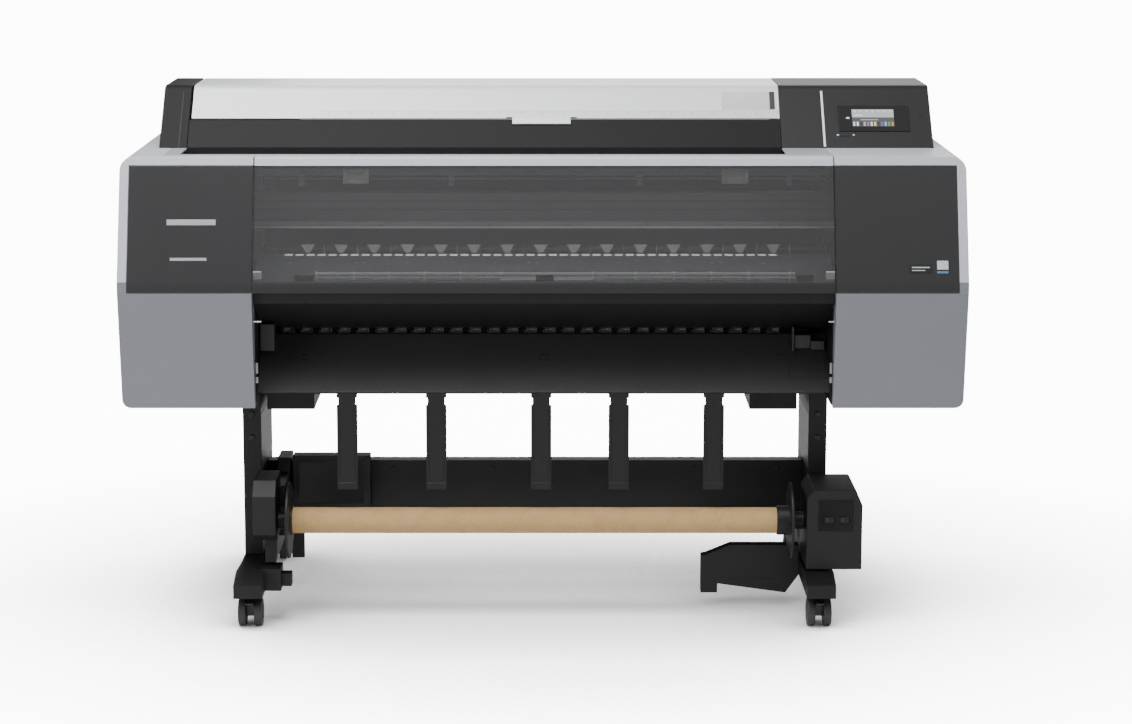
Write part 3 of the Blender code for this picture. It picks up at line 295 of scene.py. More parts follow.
def powder_coat(name, colour, roughness):
    """Baked powder on steel: a faint orange peel and fine sparkle in the gloss."""
    coat = Finish(name, colour, roughness)
    coat.set("Specular IOR Level", 0.32)
    peel = coat.noise(420.0, 3.0)
    cloud = coat.noise(6.0)
    coat.set("Base Color", coat.mix(cloud, colour, [part * 1.25 for part in colour]))
    coat.set("Roughness", roughness - 0.06 + peel * 0.12)
    return coat.bump(peel, 0.00004)


black_steel = powder_coat("black_powder_coat", (0.0042, 0.0042, 0.0047), 0.5)
for part in ("leg_left", "leg_right", "foot_left", "foot_right", "stand_beam", "main_frame"):
    recast(part, black_steel, "black_metal", 0.0016)


def add_block(name, low, high, edge=0.001, steps=2):
    """Block between two corners, with its edges rounded."""
    clear_choice()
    low, high = Vector(low), Vector(high)
    bpy.ops.mesh.primitive_cube_add(size=1.0, location=(low + high) / 2, scale=high - low)
    piece = bpy.context.object
    piece.name = name
    bpy.ops.object.transform_apply(location=True, rotation=True, scale=True)
    return rounded(piece, min(edge, min(high - low) * 0.45), steps)


def choose_faces(piece, test):
    """Opens a piece for editing with only the faces that pass a test selected."""
    clear_choice()
    bpy.context.view_layer.objects.active = piece
    piece.select_set(True)
    bpy.ops.object.mode_set(mode="EDIT")
    bpy.ops.mesh.select_mode(type="FACE")
    mesh = bmesh.from_edit_mesh(piece.data)
    for face in mesh.faces:
        face.select_set(test(face))
    bmesh.update_edit_mesh(piece.data)


def add_round(name, spot, radius, height, sides=24):
    """Short round bar standing on one spot along +Z, before it is shaped."""
    clear_choice()
    bpy.ops.mesh.primitive_cylinder_add(vertices=sides, radius=radius, depth=height,
                                        location=Vector(spot) + Vector((0.0, 0.0, height / 2)))
    piece = bpy.context.object
    piece.name = name
    bpy.ops.object.transform_apply(location=True, rotation=True, scale=True)
    return piece


def add_screw(name, radius, height):
    """Pan-head screw at the origin: domed head with a sunk hexagon, facing +Z."""
    piece = add_round(name, (0.0, 0.0, 0.0), radius, height)
    choose_faces(piece, lambda face: face.normal.z > 0.9)
    bpy.ops.mesh.inset(thickness=radius * 0.22, depth=radius * 0.16)
    bpy.ops.mesh.inset(thickness=radius * 0.26, depth=0.0)
    bpy.ops.mesh.extrude_region_move(TRANSFORM_OT_translate={"value": (0.0, 0.0, -height * 0.5)})
    bpy.ops.object.mode_set(mode="OBJECT")
    return rounded(piece, 0.0)


FACING = {"front": Vector((0.0, -1.0, 0.0)), "back": Vector((0.0, 1.0, 0.0)),
          "left": Vector((-1.0, 0.0, 0.0)), "right": Vector((1.0, 0.0, 0.0)),
          "up": Vector((0.0, 0.0, 1.0))}


def spread(piece, spots, outward):
    """Copies a piece made at the origin to each spot, turned outward, as one mesh."""
    turn = outward.to_track_quat("Z", "Y").to_matrix().to_4x4()
    copies = []
    for spot in spots:
        copy = bpy.data.objects.new(piece.name, piece.data.copy())
        bpy.context.scene.collection.objects.link(copy)
        copy.data.transform(Matrix.Translation(Vector(spot)) @ turn)
        copies.append(copy)
    name = piece.name
    bpy.data.objects.remove(piece)
    clear_choice()
    for copy in copies:
        copy.select_set(True)
    bpy.context.view_layer.objects.active = copies[0]
    if len(copies) > 1:
        bpy.ops.object.join()
    joined = bpy.context.view_layer.objects.active
    joined.name = name
    return joined


def brushed(name, colour, roughness):
    """Bright steel with the fine lines of grinding along X."""
    steel = Finish(name, colour, roughness, 1.0)
    lines = steel.noise(30.0, 4.0, (1.0, 60.0, 60.0))
    steel.set("Roughness", roughness - 0.08 + lines * 0.16)
    steel.set("Base Color", steel.mix(lines, [part * 0.85 for part in colour], colour))
    return steel.bump(lines, 0.00003)


zinc = brushed("zinc_screws", (0.42, 0.42, 0.43), 0.32)
black_screw = powder_coat("black_screws", (0.012, 0.012, 0.013), 0.3)
# Painted sheen: a thin lighter grey plate on the inner face of each leg stands for the reflection those faces
# catch.
leg_sheen_grey = powder_coat("leg_cheek_painted_sheen", (0.075, 0.075, 0.078), 0.45)
CHEEK_FOOT, CHEEK_TOP = 0.325, 0.455
for side in ("left", "right"):
    low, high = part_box("leg_" + side)
    inner = high.x if side == "left" else low.x
    cheek = add_block("leg_cheek_" + side, (inner - 0.0004, low.y + 0.004, CHEEK_FOOT),
                      (inner + 0.0006, high.y - 0.004, CHEEK_TOP), 0.0003)
    fitted(cheek, leg_sheen_grey, "root", "black_metal")
leg_low, leg_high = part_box("leg_left")
right_low, right_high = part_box("leg_right")
BOLT_HEIGHTS = (0.459, 0.403)
bolts = [(x, leg_low.y, z) for x in ((leg_low.x + leg_high.x) / 2, (right_low.x + right_high.x) / 2)
         for z in BOLT_HEIGHTS]
fitted(spread(add_screw("leg_bolts_front", 0.0065, 0.003), bolts, FACING["front"]),
       black_screw, "root", "black_metal")
SIDE_BOLT_DEPTHS = (-0.06, 0.07)
SIDE_BOLT_HEIGHTS = (0.165, 0.30, 0.46)
side_bolts = [(leg_low.x, y, z) for y in SIDE_BOLT_DEPTHS for z in SIDE_BOLT_HEIGHTS]
fitted(spread(add_screw("leg_bolts_left", 0.0075, 0.0035), side_bolts, FACING["left"]),
       zinc, "root", "steel")
side_bolts = [(right_high.x, y, z) for y in SIDE_BOLT_DEPTHS for z in SIDE_BOLT_HEIGHTS]
fitted(spread(add_screw("leg_bolts_right", 0.0075, 0.0035), side_bolts, FACING["right"]),
       zinc, "root", "steel")
beam_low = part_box("stand_beam")[0]
beam_bolts = [(x, beam_low.y, z) for x in (-0.36, -0.12, 0.12, 0.36, 0.56) for z in (0.185, 0.30)]
fitted(spread(add_screw("beam_bolts", 0.004, 0.002), beam_bolts, FACING["front"]),
       black_screw, "root", "black_metal")


# ---------------------------------------------------------------- casters
# Four twin-wheel casters with hard rubber treads in black nylon forks, the front two with a foot
# brake. Each fork turns on a stem pressed into the foot.
def moulded(name, colour, roughness, grain=1500.0, depth=0.00006, shine=0.5):
    """Injection-moulded plastic: a fine spark-eroded grain and a slight drift in tone."""
    plastic = Finish(name, colour, roughness)
    plastic.set("Specular IOR Level", shine)
    speck = plastic.noise(grain, 2.0)
    drift = plastic.noise(4.0)
    plastic.set("Base Color", plastic.mix(drift, [part * 0.95 for part in colour],
                                          [min(1.0, part * 1.05) for part in colour]))
    plastic.set("Roughness", roughness - 0.05 + speck * 0.1)
    return plastic.bump(speck, depth)


nylon = moulded("black_nylon", (0.009, 0.009, 0.010), 0.42)
tread = moulded("caster_tread", (0.022, 0.022, 0.023), 0.55, 900.0)
for corner in ("front_left", "front_right", "rear_left", "rear_right"):
    recast("caster_fork_" + corner, nylon, "black_plastic", 0.001)
    recast("caster_wheels_" + corner, tread, "black_plastic", 0.0022, 3)
    low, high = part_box("caster_wheels_" + corner)
    middle = (low + high) / 2
    for side, x in (("left", low.x), ("right", high.x)):
        cap = add_round("hub_cap_%s_%s" % (corner, side), (0.0, 0.0, 0.0), 0.017, 0.0012)
        choose_faces(cap, lambda face: face.normal.z > 0.9)
        bpy.ops.mesh.inset(thickness=0.003, depth=-0.0008)
        bpy.ops.mesh.inset(thickness=0.006, depth=0.0009)
        bpy.ops.object.mode_set(mode="OBJECT")
        rounded(cap, 0.0003)
        cap = spread(cap, [(x, middle.y, middle.z)], FACING[side])
        fitted(cap, nylon, "wheels_" + corner, "black_plastic")
for side in ("left", "right"):
    recast("caster_brake_front_" + side, nylon, "black_plastic", 0.0012)


# ---------------------------------------------------------------- side casings
# The two end housings: light grey moulded shells with a glossy charcoal panel let into the upper front of
# each, and a hinged ink cover below it in the same grey, painted darker as shade because it leans back under
# the panel.
casing_grey = moulded("light_grey_casing", (0.44, 0.455, 0.50), 0.45, 1300.0, 0.00004)
# Painted shade: the ink covers get a darker copy of the casing grey for the shade on their downward-leaning
# faces.
shaded_cover_grey = moulded("ink_cover_grey", (0.170, 0.177, 0.201), 0.42, 1300.0, 0.00004)
gloss_dark = Finish("charcoal_gloss", (0.030, 0.030, 0.033), 0.2)
gloss_dark.set("Coat Weight", 0.25)
gloss_dark.set("Roughness", 0.22 + gloss_dark.noise(2200.0) * 0.08)
gloss_dark.set("Base Color", gloss_dark.mix(gloss_dark.noise(3.0), (0.017, 0.017, 0.018),
                                            (0.021, 0.021, 0.023)))
# Painted shade: the casing's inner faces around the print bay are painted near-black where they lie in shade
# inside the printer.
casing_inner_shade = casing_grey
width = casing_inner_shade.node("ShaderNodeMath", {"operation": "ABSOLUTE"}, {0: casing_inner_shade.along("X")})
inside = (width < 0.930) * (casing_inner_shade.along("Z") < 1.0565) * (casing_inner_shade.along("Z") > 0.5135)
inside = inside * (casing_inner_shade.along("Y") < 0.3300)
tone = casing_inner_shade.mix(casing_inner_shade.noise(4.0), (0.42, 0.435, 0.475), (0.46, 0.475, 0.52))
casing_inner_shade.set("Base Color", casing_inner_shade.mix(inside, tone, (0.012, 0.012, 0.013)))
for side in ("left", "right"):
    recast("casing_" + side, casing_grey, "light_casing", 0.003, 3)
    recast("front_panel_" + side, gloss_dark, "dark_gloss", 0.0012)
    recast("ink_cover_" + side, shaded_cover_grey, "light_casing", 0.003, 3)


# ---------------------------------------------------------------- ink banks, deck and rear
# The black cartridge bays behind the ink covers, the mid-grey deck around the paper slot, the
# plain rear panel and the mains inlet low on it.
black_moulding = moulded("black_moulding", (0.0085, 0.0085, 0.0092), 0.5, 1100.0, 0.00003, 0.3)
deck_grey = moulded("deck_grey", (0.30, 0.31, 0.335), 0.45, 1300.0, 0.00004)
recast("ink_bank_left", black_moulding, "black_plastic")
recast("ink_bank_right", black_moulding, "black_plastic")
recast("top_deck", deck_grey, "deck", 0.0015)
charcoal = moulded("charcoal_moulding", (0.0105, 0.0105, 0.0112), 0.55, 1400.0, 0.00003, 0.12)
recast("rear_cover", charcoal, "dark_cover", 0.0008)
recast("power_inlet", black_moulding, "black_plastic", 0.001)

inlet_low, inlet_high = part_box("power_inlet")
inlet_middle = (inlet_low + inlet_high) / 2
PIN_SPOTS = ((0.0, 0.004), (-0.007, -0.004), (0.007, -0.004))
pins = [add_block("inlet_pin_%d" % number,
                  (inlet_middle.x + x - 0.002, inlet_high.y - 0.011, inlet_middle.z + z - 0.001),
                  (inlet_middle.x + x + 0.002, inlet_high.y - 0.002, inlet_middle.z + z + 0.001), 0.0004)
        for number, (x, z) in enumerate(PIN_SPOTS, 1)]
for pin in pins:
    fitted(pin, zinc, "root", "steel")

rear_low, rear_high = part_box("rear_cover")
SEAL_OVERLAP = 0.0009
SEAL_WIDTH = 0.008
for side, x0, x1 in (("left", rear_low.x - SEAL_OVERLAP, rear_low.x + SEAL_WIDTH),
                     ("right", rear_high.x - SEAL_WIDTH, rear_high.x + SEAL_OVERLAP)):
    seal = add_block("rear_light_seal_" + side, (x0, rear_low.y - 0.008, rear_low.z + 0.005),
                     (x1, rear_low.y - 0.0002, rear_high.z - 0.002), 0.0005)
    fitted(seal, black_moulding, "root", "black_plastic")
rear_screws = [(x, rear_high.y - 0.0022, z)
               for x in (rear_low.x + 0.010, rear_low.x + 0.44, rear_high.x - 0.44, rear_high.x - 0.010)
               for z in (rear_low.z + 0.015, rear_high.z - 0.015)]
fitted(spread(add_screw("rear_cover_screws", 0.0045, 0.0018), rear_screws, FACING["back"]),
       black_screw, "root", "black_metal")

VENT_ROWS = 9
VENT_PITCH = 0.012
for bank, x0 in (("left", rear_low.x + 0.10), ("right", rear_high.x - 0.34)):
    for row in range(VENT_ROWS):
        z = rear_low.z + 0.10 + row * VENT_PITCH
        slat = add_block("rear_vent_%s_%d" % (bank, row + 1), (x0, rear_high.y - 0.0004, z),
                         (x0 + 0.24, rear_high.y + 0.0018, z + 0.0065), 0.0006)
        choose_faces(slat, lambda face: face.normal.y > 0.9)
        bpy.ops.mesh.inset(thickness=0.0014, depth=-0.0012)
        bpy.ops.object.mode_set(mode="OBJECT")
        fitted(slat, black_moulding, "root", "black_plastic")

deck_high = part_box("top_deck")[1]
for side, x in (("left", -0.4385), ("right", 0.4150)):
    tab = add_block("cover_hinge_tab_" + side, (x, -0.2155, deck_high.z - 0.001),
                    (x + 0.031, -0.2035, deck_high.z + 0.0016), 0.0008)
    fitted(tab, deck_grey, "root", "deck")


# ---------------------------------------------------------------- roll bay
# Charcoal end pods with a black bent tray between them for the paper roll, under a satin silver
# cover that lifts by a tab. The cover has a clear scale along its edge and a clear peephole.
recast("end_pod_left", charcoal, "dark_cover", 0.002)
pod_charcoal = moulded("control_pod_moulding", (0.0120, 0.0120, 0.0128), 0.5, 1400.0, 0.00003, 0.26)
recast("control_pod", pod_charcoal, "dark_cover", 0.002)
bay_black = moulded("roll_bay_moulding", (0.0085, 0.0085, 0.0092), 0.55, 1100.0, 0.00003, 0.14)
recast("roll_bay", bay_black, "black_plastic", 0.001)
SCALE_FOOT = 1.1416
SCALE_TOP = 1.1590
PEEP_X0, PEEP_X1 = 0.420, 0.5445
PEEP_TOP = 1.1990
COVER_FRONT_REACH = 0.10
silver = Finish("silver_roll_cover", (0.62, 0.63, 0.65), 0.34, 0.15)
across = silver.along("X")
up = silver.along("Z")
in_front = silver.along("Y") < COVER_FRONT_REACH
scale_band = (up > SCALE_FOOT) * (up < SCALE_TOP) * (across > -0.52) * in_front
peephole = (up > SCALE_TOP + 0.001) * (up < PEEP_TOP) * (across > PEEP_X0) * (across < PEEP_X1)
peephole = peephole * in_front
small_tick = silver.node("ShaderNodeMath", {"operation": "PINGPONG"}, {0: across, 1: 0.005}) < 0.0004
long_tick = silver.node("ShaderNodeMath", {"operation": "PINGPONG"}, {0: across, 1: 0.025}) < 0.0006
ticks = scale_band * (small_tick * (up > SCALE_TOP - 0.004) + long_tick * (up > SCALE_TOP - 0.009))
flake = silver.noise(2400.0, 3.0)
paint = silver.mix(flake, (0.60, 0.61, 0.63), (0.68, 0.69, 0.71))
paint = silver.mix(scale_band * 0.22, paint, (0.30, 0.31, 0.32))
paint = silver.mix(silver.clamp(ticks, 0.0, 1.0) * 0.7, paint, (0.05, 0.05, 0.055))
silver.set("Base Color", silver.mix(peephole, paint, (0.5, 0.5, 0.5)))
silver.set("Alpha", 1.0 - peephole * 0.93)
silver.set("Roughness", 0.30 + flake * 0.1 - peephole * 0.22)
recast("roll_cover", silver, "silver_cover", 0.0, join_flats=False)
cover_low, cover_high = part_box("roll_cover")
edge_bar = add_block("roll_cover_top_bar", (cover_low.x + 0.002, 0.0935, cover_high.z - 0.0052),
                     (cover_high.x - 0.002, 0.1035, cover_high.z - 0.0036), 0.0006)
fitted(edge_bar, charcoal, "roll_cover", "dark_cover")
glowing_paper_white = Finish("roll_paper", (0.84, 0.84, 0.83), 0.75)
glowing_paper_white.bump(glowing_paper_white.noise(2600.0), 0.00002)
glowing_paper_white.set("Base Color", glowing_paper_white.mix(glowing_paper_white.noise(40.0), (0.82, 0.82, 0.81),
                                              (0.87, 0.87, 0.86)))
# Painted light: the paper glows faintly so that it shows bright through the peephole, where little lamp light
# reaches it.
glowing_paper_white.set("Emission Color", (1.0, 1.0, 1.0, 1.0))
glowing_paper_white.set("Emission Strength", 0.9)
recast("paper_roll", glowing_paper_white, "paper", 0.0008)
recast("roll_adapter_left", black_moulding, "black_plastic", 0.001)
recast("roll_adapter_right", black_moulding, "black_plastic", 0.001)


# ---------------------------------------------------------------- controls
# Touch panel, power button and alert lamp, sunk into the sloping front of the right-hand pod.
# The panel is black glass over a lit display; the lamp is a frosted strip up the whole slope.
pod_low, pod_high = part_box("control_pod")
SLOPE_FOOT = Vector((0.0, pod_low.y, pod_low.z))
SLOPE_WAY = Vector((0.0, 0.123, pod_high.z - pod_low.z)).normalized()
SLOPE_OUT = Vector((0.0, -SLOPE_WAY.z, SLOPE_WAY.y))


def lay_on(piece, foot, way, out):
    """Moves a piece drawn flat, X across, Y up the slope, Z outward, onto a leaning face."""
    turn = Matrix(((1.0, way.x, out.x), (0.0, way.y, out.y), (0.0, way.z, out.z))).to_4x4()
    piece.data.transform(Matrix.Translation(foot) @ turn)
    return piece


def share_of_slope(share):
    """Distance up the pod's front, for a share of its height."""
    return share * (pod_high.z - pod_low.z) / SLOPE_WAY.z


SEAM_SHARE = 0.80
for name, x0, x1 in (("pod_seam_left", -0.8462, -0.8446), ("pod_seam_right", 0.6005, 0.6021)):
    groove = add_block(name, (x0, 0.0, -0.0005), (x1, share_of_slope(SEAM_SHARE) + 0.018, 0.0003), 0.0)
    lay_on(groove, SLOPE_FOOT, SLOPE_WAY, SLOPE_OUT)
    fitted(groove, black_moulding, "root", "black_plastic")

screen_black = Finish("panel_glass", (0.004, 0.004, 0.0045), 0.1)
screen_black.set("Roughness", 0.08 + screen_black.noise(60.0) * 0.06)
recast("touch_panel", screen_black, "screen", 0.0006)
recast("power_button", black_moulding, "black_plastic", 0.0008)
frosted = Finish("frosted_lamp", (0.66, 0.68, 0.71), 0.35)
frosted.set("Roughness", 0.3 + frosted.noise(900.0) * 0.1)
recast("alert_lamp", frosted, "lamp", 0.0004)

DISPLAY_X0, DISPLAY_X1 = 0.7225, 0.8202
DISPLAY_LOW, DISPLAY_HIGH = share_of_slope(0.335), share_of_slope(0.605)
INKS = ((0.75, 0.75, 0.75), (0.9, 0.9, 0.9), (0.02, 0.02, 0.02), (0.4, 0.4, 0.42), (0.65, 0.02, 0.35),
        (0.55, 0.85, 0.88), (0.9, 0.8, 0.05), (0.02, 0.02, 0.02), (0.16, 0.08, 0.45),
        (0.1, 0.6, 0.75), (0.2, 0.25, 0.03), (0.45, 0.3, 0.02))
screen_lit = Finish("lit_display", (0.02, 0.02, 0.02), 0.1)
across = (screen_lit.along("X") - DISPLAY_X0) / (DISPLAY_X1 - DISPLAY_X0)
rise0 = pod_low.z + DISPLAY_LOW * SLOPE_WAY.z
rise1 = pod_low.z + DISPLAY_HIGH * SLOPE_WAY.z
up = (screen_lit.along("Z") - rise0) / (rise1 - rise0)
inks = screen_lit.node("ShaderNodeValToRGB", {"stops": [(number / len(INKS), ink)
                                                        for number, ink in enumerate(INKS)]},
                       {0: across})
bar = screen_lit.node("ShaderNodeMath", {"operation": "FRACT"}, {0: across * len(INKS)})
bars = (bar > 0.22) * (bar < 0.78) * (up > 0.06) * (up < 0.30)
icon = screen_lit.node("ShaderNodeMath", {"operation": "FRACT"}, {0: across * 7.0})
icons = (icon > 0.35) * (icon < 0.62) * (up > 0.87) * (up < 0.95)
look = screen_lit.mix(up > 0.56, (0.06, 0.065, 0.07), (0.42, 0.44, 0.46))
look = screen_lit.mix(icons, look, (0.95, 0.95, 0.95))
lines = (up > 0.40) * (up < 0.45) * (across > 0.2) * (across < 0.62)
look = screen_lit.mix(lines, look, (0.4, 0.42, 0.44))
look = screen_lit.mix((up > 0.66) * (up < 0.72) * (across < 0.26) * (across > 0.05), look, (0.9, 0.9, 0.9))
look = screen_lit.mix(bars, look, inks)
screen_lit.set("Emission Color", look)
screen_lit.set("Emission Strength", 1.5)
display = add_block("display", (DISPLAY_X0, DISPLAY_LOW, 0.0013), (DISPLAY_X1, DISPLAY_HIGH, 0.0018), 0.0001)
fitted(lay_on(display, SLOPE_FOOT, SLOPE_WAY, SLOPE_OUT), screen_lit, "root", "screen")

status_blue = Finish("status_light", (0.05, 0.3, 0.8), 0.3)
status_blue.set("Emission Color", status_blue.mix(status_blue.noise(300.0), (0.1, 0.45, 1.0),
                                                  (0.2, 0.6, 1.0)))
status_blue.set("Emission Strength", 2.0)
LED_X = 0.6868
led = add_block("status_led", (LED_X - 0.0025, share_of_slope(0.199), -0.0004),
                (LED_X + 0.0025, share_of_slope(0.213), 0.0006), 0.0004)
fitted(lay_on(led, SLOPE_FOOT, SLOPE_WAY, SLOPE_OUT), status_blue, "root", "lamp")
print_white = Finish("printed_marks", (0.55, 0.56, 0.58), 0.5)
print_white.set("Base Color", print_white.mix(print_white.noise(800.0), (0.5, 0.51, 0.53), (0.6, 0.61, 0.63)))
marks = [add_block("power_mark", (0.7215, share_of_slope(0.196), -0.0004),
                   (0.7255, share_of_slope(0.216), 0.0003), 0.0001),
         add_block("home_mark", (0.7085, share_of_slope(0.455), 0.0013),
                   (0.7160, share_of_slope(0.482), 0.0018), 0.0001)]
for mark in marks:
    fitted(lay_on(mark, SLOPE_FOOT, SLOPE_WAY, SLOPE_OUT), print_white, "root", "screen")
# Painted shade: the sounder holes are flat black patches, not openings.
sounder = [add_block("sounder_hole_%d" % number, (x - 0.0014, share_of_slope(0.492), -0.0004),
                     (x + 0.0014, share_of_slope(0.512), 0.0003), 0.0001)
           for number, x in enumerate((0.8815, 0.8855, 0.8895), 1)]
for hole in sounder:
    fitted(lay_on(hole, SLOPE_FOOT, SLOPE_WAY, SLOPE_OUT), screen_black, "root", "black_plastic")


# ---------------------------------------------------------------- front cover
# One long moulding hinged along its top: light grey along the hinge, smoked clear plastic over
# the carriage and a black chin. Two hinge plates are screwed inside it, and a ribbed grip rail
# runs along its lower edge.
CHIN_TOP = 0.805
BAND_FOOT = 1.0585
front_low, front_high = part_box("front_cover")
smoke = Finish("smoked_cover", (0.03, 0.03, 0.032), 0.1)
height = smoke.along("Z")
across = smoke.along("X")
band = height > BAND_FOOT
chin = height < CHIN_TOP
# Painted shadow: a dark opaque strip at each end of the cover stands for the shadow in the gap to the casing.
ends = smoke.clamp((across < front_low.x + 0.0022) + (across > front_high.x - 0.0022), 0.0, 1.0)
tint = smoke.mix(smoke.noise(2.5), (0.050, 0.050, 0.052), (0.058, 0.058, 0.060))
tint = smoke.mix(chin, tint, (0.012, 0.012, 0.013))
tint = smoke.mix(band, tint, (0.44, 0.455, 0.50))
smoke.set("Base Color", smoke.mix(ends, tint, (0.006, 0.006, 0.006)))
smoke.set("Alpha", smoke.clamp(0.52 + band + chin + ends, 0.0, 1.0))
smoke.set("Roughness", 0.12 + band * 0.33 + chin * 0.3)
recast("front_cover", smoke, "window", 0.0012)

PANE_FOOT = Vector((0.0, front_low.y, CHIN_TOP))
PANE_WAY = Vector((0.0, 0.090, 0.269)).normalized()
PANE_OUT = Vector((0.0, -PANE_WAY.z, PANE_WAY.y))
hinge_grey = moulded("hinge_plate", (0.50, 0.50, 0.47), 0.5, 600.0, 0.00001)
for side, x0, x1 in (("left", -0.4508, -0.3930), ("right", 0.4037, 0.4634)):
    plate = add_block("cover_hinge_plate_" + side, (x0, 0.2286, -0.0140), (x1, 0.2624, -0.0105), 0.0008)
    choose_faces(plate, lambda face: face.normal.z > 0.9)
    bpy.ops.mesh.inset(thickness=0.010, depth=-0.0008)
    bpy.ops.object.mode_set(mode="OBJECT")
    fitted(lay_on(plate, PANE_FOOT, PANE_WAY, PANE_OUT), hinge_grey, "front_cover", "steel")
    corners = [(x, up, -0.0106) for x in (x0 + 0.009, x1 - 0.009) for up in (0.2340, 0.2570)]
    heads = spread(add_screw("cover_hinge_screws_" + side, 0.0038, 0.0016), corners, FACING["up"])
    fitted(lay_on(heads, PANE_FOOT, PANE_WAY, PANE_OUT), zinc, "front_cover", "steel")

badge_grey = brushed("badge_plate", (0.50, 0.50, 0.52), 0.4)
sticker_black = moulded("sticker_black", (0.004, 0.004, 0.004), 0.4)
sticker_pale = moulded("sticker_pale", (0.45, 0.47, 0.50), 0.5)
sticker_blue = moulded("sticker_blue", (0.05, 0.16, 0.40), 0.5)
for name, x0, x1, low, high, finish in (
        ("name_plate", -0.845, -0.735, 0.131, 0.144, badge_grey),
        ("model_plate", -0.836, -0.754, 0.050, 0.0565, badge_grey),
        ("notice_plate", 0.8215, 0.8715, 0.0215, 0.0410, sticker_black),
        ("notice_line_upper", 0.8265, 0.8665, 0.0335, 0.0360, sticker_pale),
        ("notice_line_lower", 0.8265, 0.8560, 0.0270, 0.0290, sticker_pale),
        ("round_plate", 0.8830, 0.9080, 0.0300, 0.0500, sticker_pale),
        ("round_plate_foot", 0.8830, 0.9080, 0.0215, 0.0265, sticker_blue)):
    lift = 0.0009 if "line" in name else 0.0006
    plate = add_block(name, (x0, low, 0.0001), (x1, high, lift), 0.0002)
    fitted(lay_on(plate, PANE_FOOT, PANE_WAY, PANE_OUT), finish, "root", "dark_gloss")

rail_grey = moulded("grip_rail_grey", (0.30, 0.30, 0.31), 0.5, 600.0, 0.00001)
RAIL_FRONT, RAIL_BACK = front_low.y + 0.0075, front_low.y + 0.0125
for number, (z0, z1) in enumerate(((0.8220, 0.8270), (0.8145, 0.8178), (0.8062, 0.8100)), 1):
    rail = add_block("grip_rail_%d" % number, (-0.508, RAIL_FRONT, z0), (0.565, RAIL_BACK, z1), 0.0006)
    fitted(rail, rail_grey, "front_cover", "window")
solid_rail = add_block("grip_rail_middle", (-0.094, RAIL_FRONT - 0.0006, 0.8062),
                       (0.112, RAIL_BACK, 0.8178), 0.0006)
fitted(solid_rail, rail_grey, "front_cover", "window")
rib_spots = (-0.5085, -0.4230, -0.3450, -0.2650, -0.1850, -0.0945, 0.1122, 0.2075, 0.2930,
             0.3770, 0.4605, 0.5525)
for number, x in enumerate(rib_spots, 1):
    rib = add_block("grip_rib_%d" % number, (x - 0.0006, RAIL_FRONT - 0.0008, 0.8058),
                    (x + 0.0006, RAIL_BACK + 0.002, 0.8290), 0.0003)
    fitted(rib, rail_grey, "front_cover", "window")
for name, x0, x1 in (("left", -0.557, -0.514), ("middle", -0.016, 0.025), ("right", 0.568, 0.607)):
    catch = add_block("cover_catch_" + name, (x0, RAIL_FRONT - 0.0012, 0.8058),
                      (x1, RAIL_BACK + 0.003, 0.8215), 0.002)
    choose_faces(catch, lambda face: face.normal.z > 0.9)
    bpy.ops.transform.resize(value=(0.66, 1.0, 1.0), center_override=((x0 + x1) / 2, 0.0, 0.82))
    bpy.ops.object.mode_set(mode="OBJECT")
    fitted(catch, black_moulding, "front_cover", "window")
for name, x0, x1 in (("left", -0.650, -0.630), ("right", 0.634, 0.6545)):
    bracket = add_block("cover_corner_" + name, (x0, RAIL_FRONT, 0.8060), (x1, RAIL_BACK, 0.8300), 0.0015)
    fitted(bracket, rail_grey, "front_cover", "window")


# ---------------------------------------------------------------- paper path
# Platen, exit guide and output chute are bent sheets from side plate to side plate, with the steel feed
# roller and its rubber pressure rollers behind the platen. White scale marks run along the platen, glowing
# faintly as painted light, and every pressure roller has its own moulded holder.
rubber = moulded("roller_rubber", (0.022, 0.022, 0.022), 0.6, 700.0)
ground_steel = brushed("ground_steel", (0.5, 0.5, 0.51), 0.25)
platen_grey = moulded("platen_moulding", (0.034, 0.034, 0.036), 0.6, 600.0, 0.00001)
recast("platen", platen_grey, "dark_cover", 0.001)
recast("exit_guide", black_moulding, "black_plastic", 0.001)
chute_black = powder_coat("chute_coat", (0.022, 0.022, 0.023), 0.42)
recast("output_chute", chute_black, "black_plastic", 0.001)
recast("feed_roller", ground_steel, "steel", 0.0004)
recast("pressure_rollers", rubber, "roller_rubber", 0.0006)

platen_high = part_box("platen")[1]
INCH = 0.0254
DASH_COUNT = 45
glowing_scale_white = Finish("glowing_scale_white", (0.85, 0.85, 0.85), 0.5)
glowing_scale_white.set("Base Color", glowing_scale_white.mix(glowing_scale_white.noise(500.0), (0.82, 0.82, 0.82), (0.9, 0.9, 0.9)))
# Painted light: the printed scale marks glow though they are no lamp.
glowing_scale_white.set("Emission Color", (1.0, 1.0, 1.0, 1.0))
glowing_scale_white.set("Emission Strength", 1.3)
dash = add_block("platen_scale", (-0.5960, -0.1475, platen_high.z - 0.0002),
                 (-0.5782, -0.1255, platen_high.z + 0.0003), 0.0001)
row = dash.modifiers.new("row", "ARRAY")
row.use_relative_offset = False
row.use_constant_offset = True
row.constant_offset_displace = (INCH, 0.0, 0.0)
row.count = DASH_COUNT
clear_choice()
dash.select_set(True)
bpy.context.view_layer.objects.active = dash
bpy.ops.object.modifier_apply(modifier="row")
fitted(dash, glowing_scale_white, "root", "dark_cover")

